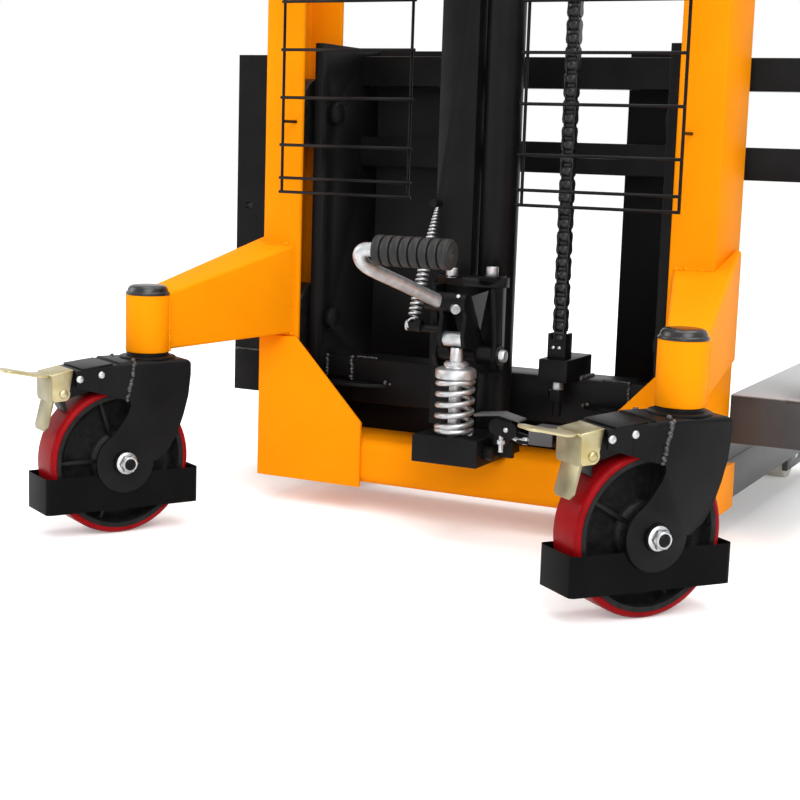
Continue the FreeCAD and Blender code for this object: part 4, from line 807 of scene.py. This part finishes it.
def bracket_fasteners():
    """Screws with sockets on the bracket's lid, and the pivot pin with its clip."""
    screw = [(0, 0), (7.2, 0), (7.6, 0.8), (7.6, 11), (6.8, 12), (4.2, 12), (3.8, 6), (0, 6)]
    bm = bmesh.new()
    for place in ((-13, -34, 322), (36, -22, 325.5)):
        lathe(bm, screw, place, "z", 28)
    lathe(bm, [(0, -45), (7.4, -45), (8, -44.2), (8, 50), (7, 52.4), (0, 52.8)], PIVOT, "x", 32)
    piece("bracket_screws", bm, "zinc_steel", "chassis", "bracket_fasteners")
    bm = bmesh.new()
    lathe(bm, [(8, 43.2), (13.6, 43.2), (14, 44), (13.4, 45.6), (8, 45.6)], PIVOT, "x", 10)
    piece("pivot_clip", bm, "black_paint", "chassis")


def rocker_fasteners():
    """The small screws on the rocker's socket, and the stud for the thin spring with its washer."""
    screw = [(0, 0), (5.6, 0), (6, 0.6), (6, 7.4), (5.2, 8.2), (3, 8.2), (2.8, 5), (0, 5)]
    stud = [(0, -62.6), (5, -62.6), (5.2, -62), (5.2, -54), (7.6, -53), (7.8, -44), (0, -44)]
    bm = bmesh.new()
    lathe(bm, screw, (0, 0, 0), "z", 24)
    bm.transform(facing((PUMP_X + 4, -73, 288), (0.62, -0.78, -0.1)))
    dome(bm, facing((PUMP_X + 9, -74, 303), (0.3, -0.8, 0.5)), 2.6, 2)
    lathe(bm, [(0, -65.5), (4.6, -65.5), (6.8, -64.8), (6.8, -62.4), (0, -62.4)], STUD, "x", 28)
    piece("socket_screw", bm, "zinc_steel", "rocker")
    bm = bmesh.new()
    lathe(bm, stud, STUD, "x", 28)
    piece("spring_stud", bm, "black_paint", "rocker")


def bracket_plates():
    """The bracket's web in grey, a painted highlight for a facet that catches the light, and the pads under
    the lid's screws.
    """
    lid = 323
    bm = bmesh.new()
    # a grey triangular plate: painted highlight standing for light off a sloping facet
    prism(bm, [(7, 298), (26.5, 259.7), (35.6, 308.5)], "y", -31, -29)
    piece("bracket_web_painted_highlight", bm, "fork_grey", "chassis")
    bm = bmesh.new()
    block(bm, (-26, 0), (-41.6, -20), (lid, 324.8), 0.6)
    block(bm, (24, 48), (-36, -4), (lid, 326), 0.8)
    piece("lid_pads", bm, "black_paint", "chassis")


def release_linkage():
    """The bent arm over the valve, its rocking plate with a rivet and screws, and the pedal's folded lip."""
    body = frame["nodes"]["release_lever"]["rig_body"]
    near, rear, front = -86, -90, -84
    lip_x, lip_low = (120, 150), 134.5
    bm = bmesh.new()
    bent = [(46, 163.5), (79, 167.5), (106, 161.5), (106, 158.5), (79, 164.3), (46, 160.5)]
    prism(bm, bent, "y", near, near + 24, 0.8)
    block(bm, lip_x, (rear, rear + 3.5), (lip_low, 154), 1.5)
    block(bm, lip_x, (rear, rear + 42), (151, 154.4), 1.2)
    block(bm, (121, 124), (rear + 2, rear + 40), (lip_low, 152), 0.8)
    piece("release_pedal", bm, "fork_grey", body)
    bm = bmesh.new()
    prism(bm, arc((78, 151.5), 10, 80, 260, 8) + arc((95, 148), 10, 260, 440, 8), "y", rear, front, 1.2)
    block(bm, (84, 96), (front, -76), (140, 162), 1)
    piece("release_plates", bm, "black_paint", body)
    link_y, link_z, screw_x, screw_y = -82, 137, 84, -87
    bm = bmesh.new()
    dome(bm, facing((91, rear, 149), (0, -1, 0)), 3.2, 2.4)
    hexagon(bm, (0, link_y, link_z), "x", 5, 110, 117)
    tube(bm, [(x, link_y, z) for x, z in ((95, 142), (100, 138), (104, link_z), (121, link_z))], 2.6, 4)
    hexagon(bm, (screw_x, screw_y, 0), "z", 5.4, 131, 136)
    tube(bm, [(screw_x, screw_y, 143), (screw_x, screw_y, 121)], 3, 4)
    piece("release_screws", bm, "zinc_steel", body)


# frame and carriage

def arms():
    """Tapered boxes from the posts to the swivel tubes, round each post's outer side, with a sloping top."""
    post_rear, tube_end = 0.4, -188
    plan = [(259, post_rear), (307.6, post_rear), (307.6, 86), (317, 84),
            (362.5, -205), (340, -190), (317.5, -205)]
    top = ((0, 0, 347), (0, -0.265, 1))
    shoulder = ((0, 62, 362), (0, 0.6, 1))
    keel = ((0, 0, 230), (0, 0.035, -1))
    bm = bmesh.new()
    for sign in SIDES.values():
        verts = prism(bm, [(sign * x, y) for x, y in plan], "z", 190, 420)
        for spot, way in (top, shoulder, keel):
            verts = grown(v for v in verts if v.is_valid)
            cut_off(bm, linked(verts), spot, way)

    def outer(edge):
        ends = [v.co.y for v in edge.verts]
        on_post = all(abs(y - post_rear) < 0.1 for y in ends)
        return edge.calc_face_angle(0) > 0.3 and max(ends) > tube_end and not on_post

    bm.normal_update()
    bevel(bm, [e for e in bm.edges if outer(e)], 4, 4)
    piece("arm_boxes", bm, "yellow_paint", "chassis", "outrigger_arms", "arm_side_plates")


def guards_and_hangers():
    """The wire guards a little aside from their solids, and each hanger strip at its own width."""
    left_guard = Matrix.Translation((1, 0, 3.6)) @ stretch_from(-264, 190 / 204)
    shifted("mesh_guards", "wire_guards", "black_paint", left_guard, Matrix.Translation((9, 0, 1)))
    left_strip, right_strip = stretch_from(-376, 45 / 37), stretch_from(413, 19 / 37)
    shifted("fork_hangers", "hanger_strips", "black_paint", left_strip, right_strip)


def carriage_plates():
    """A black plate on the left fork's heel, painted shade for the shadow that falls there, the links' webs
    and tips, and the right fork's filled seat.
    """
    tip = ((234, 50.4), (137, 50.4), (150, 42), (172, 32), (200, 26), (234, 24))
    bm = bmesh.new()
    # a black plate on the left fork's heel: painted shade for the shadow on that heel
    block(bm, (-420, -376), (109.6, 113), (127, 186), 0.8)
    for sign in SIDES.values():
        block(bm, (sign * 195, sign * 234)[::sign], (60, 66), (138.6, 171))
        prism(bm, [(sign * x, y) for x, y in tip], "z", 161, 166, 1)
    piece("carriage_plates", bm, "black_paint", "carriage")
    bm = bmesh.new()
    # in the forks' finish, so its top face carries the painted highlight
    block(bm, (375.6, 394.5), (112.2, 132.4), (183, 188.9), 0.8)
    piece("fork_seat_fill", bm, "fork_top_highlit", "carriage")


def base_plates():
    """The stop strip between the posts, and the plates that close the base beam's ends."""
    bm = bmesh.new()
    block(bm, (-228, 228), (88, 102), (97, 137.6), 1)
    piece("stop_strip", bm, "black_paint", "chassis", "stop_bar")
    bm = bmesh.new()
    for sign in SIDES.values():
        block(bm, (sign * 304, sign * 308.3)[::sign], (0.4, 149.6), (38.4, 96.6), 1)
    piece("beam_ends", bm, "yellow_paint", "chassis")


def arm_welds():
    """Painted beads where the arms meet the swivel tubes and the posts."""
    bead_y, root_x = -KING_BACK + 11, 259
    bm = bmesh.new()
    for sign in SIDES.values():
        for reach in (-24.6, 24.6):
            x = sign * KING_X + reach
            weld(bm, [(x, bead_y, 223), (x, bead_y, 288)], 2.0, f"tube{sign}{reach}")
        weld(bm, [(sign * root_x, -0.5, 236), (sign * root_x, -0.5, 340)], 1.6, f"root{sign}")
        weld(bm, [(sign * 262, -1, 347), (sign * 273, -1, 348)], 3.2, f"crest{sign}")
        weld(bm, [(sign * 260, -1, 230), (sign * 268, -1, 229)], 3.4, f"keel{sign}")
        weld(bm, [(sign * 275, 0, 347.5), (sign * 306, 0, 347.5)], 1.8, f"top{sign}")
    piece("arm_welds", bm, "yellow_paint", "chassis", sharp=60)


def carriage_welds():
    """Bare beads on the cross tube, its links and the anchor block, and behind the left fork's heel."""
    bm = bmesh.new()
    for sign in SIDES.values():
        weld(bm, [(sign * 195.5, 49.6, 168), (sign * 195.5, 49.6, 198)], 3.0, f"link{sign}")
        weld(bm, [(sign * 233.5, 50, 171), (sign * 233.5, 50, 197)], 3.0, f"side{sign}")
        weld(bm, [(sign * 134, 49.6, 165), (sign * 142, 47, 167.4)], 3.6, f"tip{sign}")
        weld(bm, [(sign * 190, 55, 198.6), (sign * 160, 55, 198.6)], 1.6, f"ledge{sign}")
    weld(bm, [(131.4, 52, 199), (131.4, 90, 199)], 3.4, "block")
    weld(bm, [(92, 52, 199), (92, 88, 199)], 3.0, "block2")
    weld(bm, [(-419, 111, 186), (-378, 111, 186)], 1.8, "heel")
    piece("carriage_welds", bm, "weld_grey", "carriage", sharp=60)


def handle_fittings():
    """The push handle's bolted feet and its ribbed sleeves."""
    foot_x, foot_z, half_wide, half_tall, thick = 285.5, 961, 21, 42, 5
    bm = bmesh.new()
    for sign in SIDES.values():
        block(bm, (sign * foot_x - half_wide, sign * foot_x + half_wide), (-thick, -0.2),
              (foot_z - half_tall, foot_z + half_tall), 1.4)
    piece("handle_feet", bm, "black_paint", "chassis")
    washer = [(0, -6.6), (10.4, -6.6), (10.8, -6), (10.8, -thick), (0, -thick)]
    bm = bmesh.new()
    for sign in SIDES.values():
        for rise in (-32, 34):
            bolt = (sign * foot_x, 0, foot_z + rise)
            lathe(bm, washer, bolt, "y", 28)
            hexagon(bm, bolt, "y", 8.2, -13, -6.4, 0.9)
    piece("handle_bolts", bm, "zinc_steel", "chassis")
    bar, bore, waist, crown, inner, rib, count = (0, -170, 1060), 16.2, 18.6, 20, 50, 14, 10
    profile = [(bore, inner)]
    for k in range(count):
        x = inner + k * rib
        profile += [(waist, x), (crown, x + 1.6), (crown, x + rib - 3.6), (waist, x + rib - 2)]
    profile += [(waist, inner + count * rib), (bore, inner + count * rib), (bore, inner)]
    bm = bmesh.new()
    for sign in SIDES.values():
        lathe(bm, [(r, sign * x) for r, x in profile], bar, "x", 36)
    piece("handle_sleeves", bm, "black_rubber", "chassis", "handle_grips")


def far_welds():
    """Beads at the mast's top beam and the fork bars."""
    beam_x, beam_low, beam_high, bar_x = 251, 2033, 2087, 247.4
    bm = bmesh.new()
    for sign in SIDES.values():
        for y, seed in ((101, "beam"), (43.4, "beam back")):
            weld(bm, [(sign * beam_x, y, beam_low), (sign * beam_x, y, beam_high)], 2.4, f"{seed}{sign}")
    piece("top_beam_welds", bm, "yellow_paint", "chassis", sharp=60)
    bm = bmesh.new()
    for sign in SIDES.values():
        for z in (452, 492, 560, 600):
            weld(bm, [(sign * bar_x, 133, z), (sign * bar_x, 156, z)], 2.4, f"bar{sign}{z}")
    piece("bar_welds", bm, "weld_grey", "carriage", sharp=60)


def filler_cap():
    """The tank's filler cap with a knurled rim."""
    centre, knurls = (-27, 10, 0), 16
    cap = [(0, 770.4), (10, 770.4), (12, 769.4), (12.8, 768), (12.8, 762), (9, 761.6), (9, 757), (0, 757)]
    bm = bmesh.new()
    lathe(bm, cap, centre, "z", 40)
    for k in range(knurls):
        knurl = block(bm, (12.2, 13.6), (-1, 1), (762.4, 768), 0.4)
        moved_to(bm, knurl, Matrix.Translation(centre) @ Matrix.Rotation(math.tau * k / knurls, 4, "Z"))
    piece("filler_cap", bm, "black_rubber", "chassis")


# everything else keeps its CAD shape with rounded edges: finish and edge radius in millimetres
PLAIN = {
    "base_beam": ("yellow_paint", 0),
    "mast_posts": ("yellow_paint", 3),
    "corner_gussets": ("yellow_paint", 1.2),
    "swivel_tubes": ("yellow_paint", 1.2),
    "mast_top_beam": ("yellow_paint", 3),
    "base_legs": ("fork_grey", 3),
    # the forks' finish paints a highlight on their top faces
    "lift_forks": ("fork_top_highlit", 3),
    "fork_bars": ("black_paint", 1.5),
    "carriage_sides": ("black_paint", 1.2),
    "cross_tube": ("black_paint", 3),
    "oil_tank": ("black_paint", 2),
    "lift_cylinder": ("black_paint", 0.8),
    "pump_block": ("black_paint", 1.5),
    "pump_bracket": ("black_paint", 1),
    "push_handle": ("black_paint", 0),
    "rocker_roller": ("zinc_steel", 0.8),
    "release_valve": ("black_paint", 0.6),
    "release_lever": ("black_paint", 0.8),
    "ram": ("ram_chrome", 0.8),
    "roller_axles": ("black_paint", 0.8),
    "load_roller_axles": ("zinc_steel", 0.8),
    **{f"load_roller_{side}": ("roller_nylon", 1.5) for side in SIDES},
    **{f"mast_roller_{side}_{level}": ("roller_steel", 1.5) for side in SIDES for level in ("low", "up")},
}


# stage, light and camera, in metres

WHITE = (1, 1, 1, 1)
FLOOR_HALF, FLOOR_GLOW, FLOOR_ROUGH, FLOOR_GRAIN, FLOOR_DETAIL = 30, 0.24, 0.9, 3, 2
FLOOR_TONES = ((0.93, 0.93, 0.93), (0.95, 0.95, 0.95))
FILL_STRENGTH, BACKDROP_STRENGTH = 0.5, 1
# kind, place, target, power, and the sun's spread or the area's width
LAMPS = {
    "sun": ("SUN", (2.2, -2.8, 3.4), (0, -0.2, 0.3), 1.7, math.radians(40)),
    "top": ("AREA", (0.4, 0.3, 5.0), (0, 0.2, 0), 210, 4.5),
    "side": ("AREA", (-3.4, -1.4, 1.8), (0, -0.2, 0.4), 40, 2.0),
    "front": ("AREA", (1.4, -4.2, 1.2), (0, -0.2, 0.4), 30, 2.4),
}
EYE = (0.8196, -2.0754, 0.4807)
YAW, PITCH_DOWN, ROLL = math.radians(26.5), math.radians(9.0), math.radians(1.8)
FOCAL, SENSOR = 72.14, 36


def mirrored_or_seen(nodes, links):
    """One for what the camera sees, straight or by way of a surface, and nought for light on the object."""
    ray = nodes.new("ShaderNodeLightPath")
    total = ray.outputs["Is Camera Ray"]
    for kind in ("Is Glossy Ray", "Is Transmission Ray"):
        either = nodes.new("ShaderNodeMath")
        either.operation = "MAXIMUM"
        links.new(total, either.inputs[0])
        links.new(ray.outputs[kind], either.inputs[1])
        total = either.outputs["Value"]
    return total


def pale_floor():
    """A matt floor that glows a little to the camera, so that it fades into the backdrop."""
    material = bpy.data.materials.new("pale floor")
    material.use_nodes = True
    nodes, links = material.node_tree.nodes, material.node_tree.links
    shader = nodes["Principled BSDF"]
    shader.inputs["Roughness"].default_value = FLOOR_ROUGH
    shader.inputs["Specular IOR Level"].default_value = 0.0
    shader.inputs["Emission Color"].default_value = WHITE
    glow = nodes.new("ShaderNodeMath")
    glow.operation = "MULTIPLY"
    glow.inputs[1].default_value = FLOOR_GLOW
    links.new(mirrored_or_seen(nodes, links), glow.inputs[0])
    links.new(glow.outputs["Value"], shader.inputs["Emission Strength"])
    place = nodes.new("ShaderNodeTexCoord").outputs["Object"]
    grain = noise(nodes, links, place, FLOOR_GRAIN, FLOOR_DETAIL)
    tone = ramped(nodes, links, grain, FLOOR_TONES, (0, 1))
    links.new(tone, shader.inputs["Base Color"])
    return material


def floor():
    """The ground under the wheels."""
    bm = bmesh.new()
    bmesh.ops.create_grid(bm, x_segments=1, y_segments=1, size=FLOOR_HALF)
    mesh = bpy.data.meshes.new("floor")
    bm.to_mesh(mesh)
    bm.free()
    mesh.materials.append(pale_floor())
    ground = bpy.data.objects.new("floor", mesh)
    bpy.context.scene.collection.objects.link(ground)


def backdrop():
    """A white world that the camera sees brighter than the light it sheds on the object."""
    world = bpy.data.worlds.new("studio")
    bpy.context.scene.world = world
    world.use_nodes = True
    nodes, links = world.node_tree.nodes, world.node_tree.links
    fill, seen = nodes["Background"], nodes.new("ShaderNodeBackground")
    for background, strength in ((fill, FILL_STRENGTH), (seen, BACKDROP_STRENGTH)):
        background.inputs["Color"].default_value = WHITE
        background.inputs["Strength"].default_value = strength
    choice = nodes.new("ShaderNodeMixShader")
    links.new(mirrored_or_seen(nodes, links), choice.inputs["Fac"])
    links.new(fill.outputs["Background"], choice.inputs[1])
    links.new(seen.outputs["Background"], choice.inputs[2])
    links.new(choice.outputs["Shader"], nodes["World Output"].inputs["Surface"])


def light(name, kind, place, target, power, size):
    """A sun or an area lamp that points at a target."""
    lamp = bpy.data.lights.new(name, kind)
    lamp.energy = power
    if kind == "SUN":
        lamp.angle = size
    else:
        lamp.size = size
    obj = bpy.data.objects.new(name, lamp)
    obj.matrix_world = facing(place, Vector(place) - Vector(target))
    bpy.context.scene.collection.objects.link(obj)


def camera():
    """The photo's view, from behind on the operator's right."""
    lens = bpy.data.cameras.new("camera")
    lens.lens = FOCAL
    lens.sensor_width = SENSOR
    level = math.cos(PITCH_DOWN)
    back = Vector((math.sin(YAW) * level, -math.cos(YAW) * level, math.sin(PITCH_DOWN)))
    right = Vector((math.cos(YAW), math.sin(YAW), 0))
    up = back.cross(right)
    tilted_right = right * math.cos(ROLL) + up * math.sin(ROLL)
    tilted_up = up * math.cos(ROLL) - right * math.sin(ROLL)
    turn = Matrix((tilted_right, tilted_up, back)).transposed().to_4x4()
    eye = bpy.data.objects.new("camera", lens)
    eye.matrix_world = Matrix.Translation(EYE) @ turn
    bpy.context.scene.collection.objects.link(eye)
    bpy.context.scene.camera = eye


# the whole stacker
for side in SIDES:
    caster(side)
stem_caps()
live_strand()
dead_strand()
chain_on_wheel()
toothed_wheel()
chain_anchor()
thick_coil()
tension_spring()
plunger()
pedal()
bracket_fasteners()
rocker_fasteners()
bracket_plates()
release_linkage()
softened("rocker_arm", "black_paint", 1, cut=((-63, 0, 0), (-1, 0, 0)))
arms()
guards_and_hangers()
carriage_plates()
base_plates()
arm_welds()
carriage_welds()
handle_fittings()
far_welds()
filler_cap()
for node, (finish, soft) in PLAIN.items():
    softened(node, finish, soft)
floor()
backdrop()
for name, lamp in LAMPS.items():
    light(name, *lamp)
bpy.context.scene.view_settings.view_transform = "Standard"
camera()
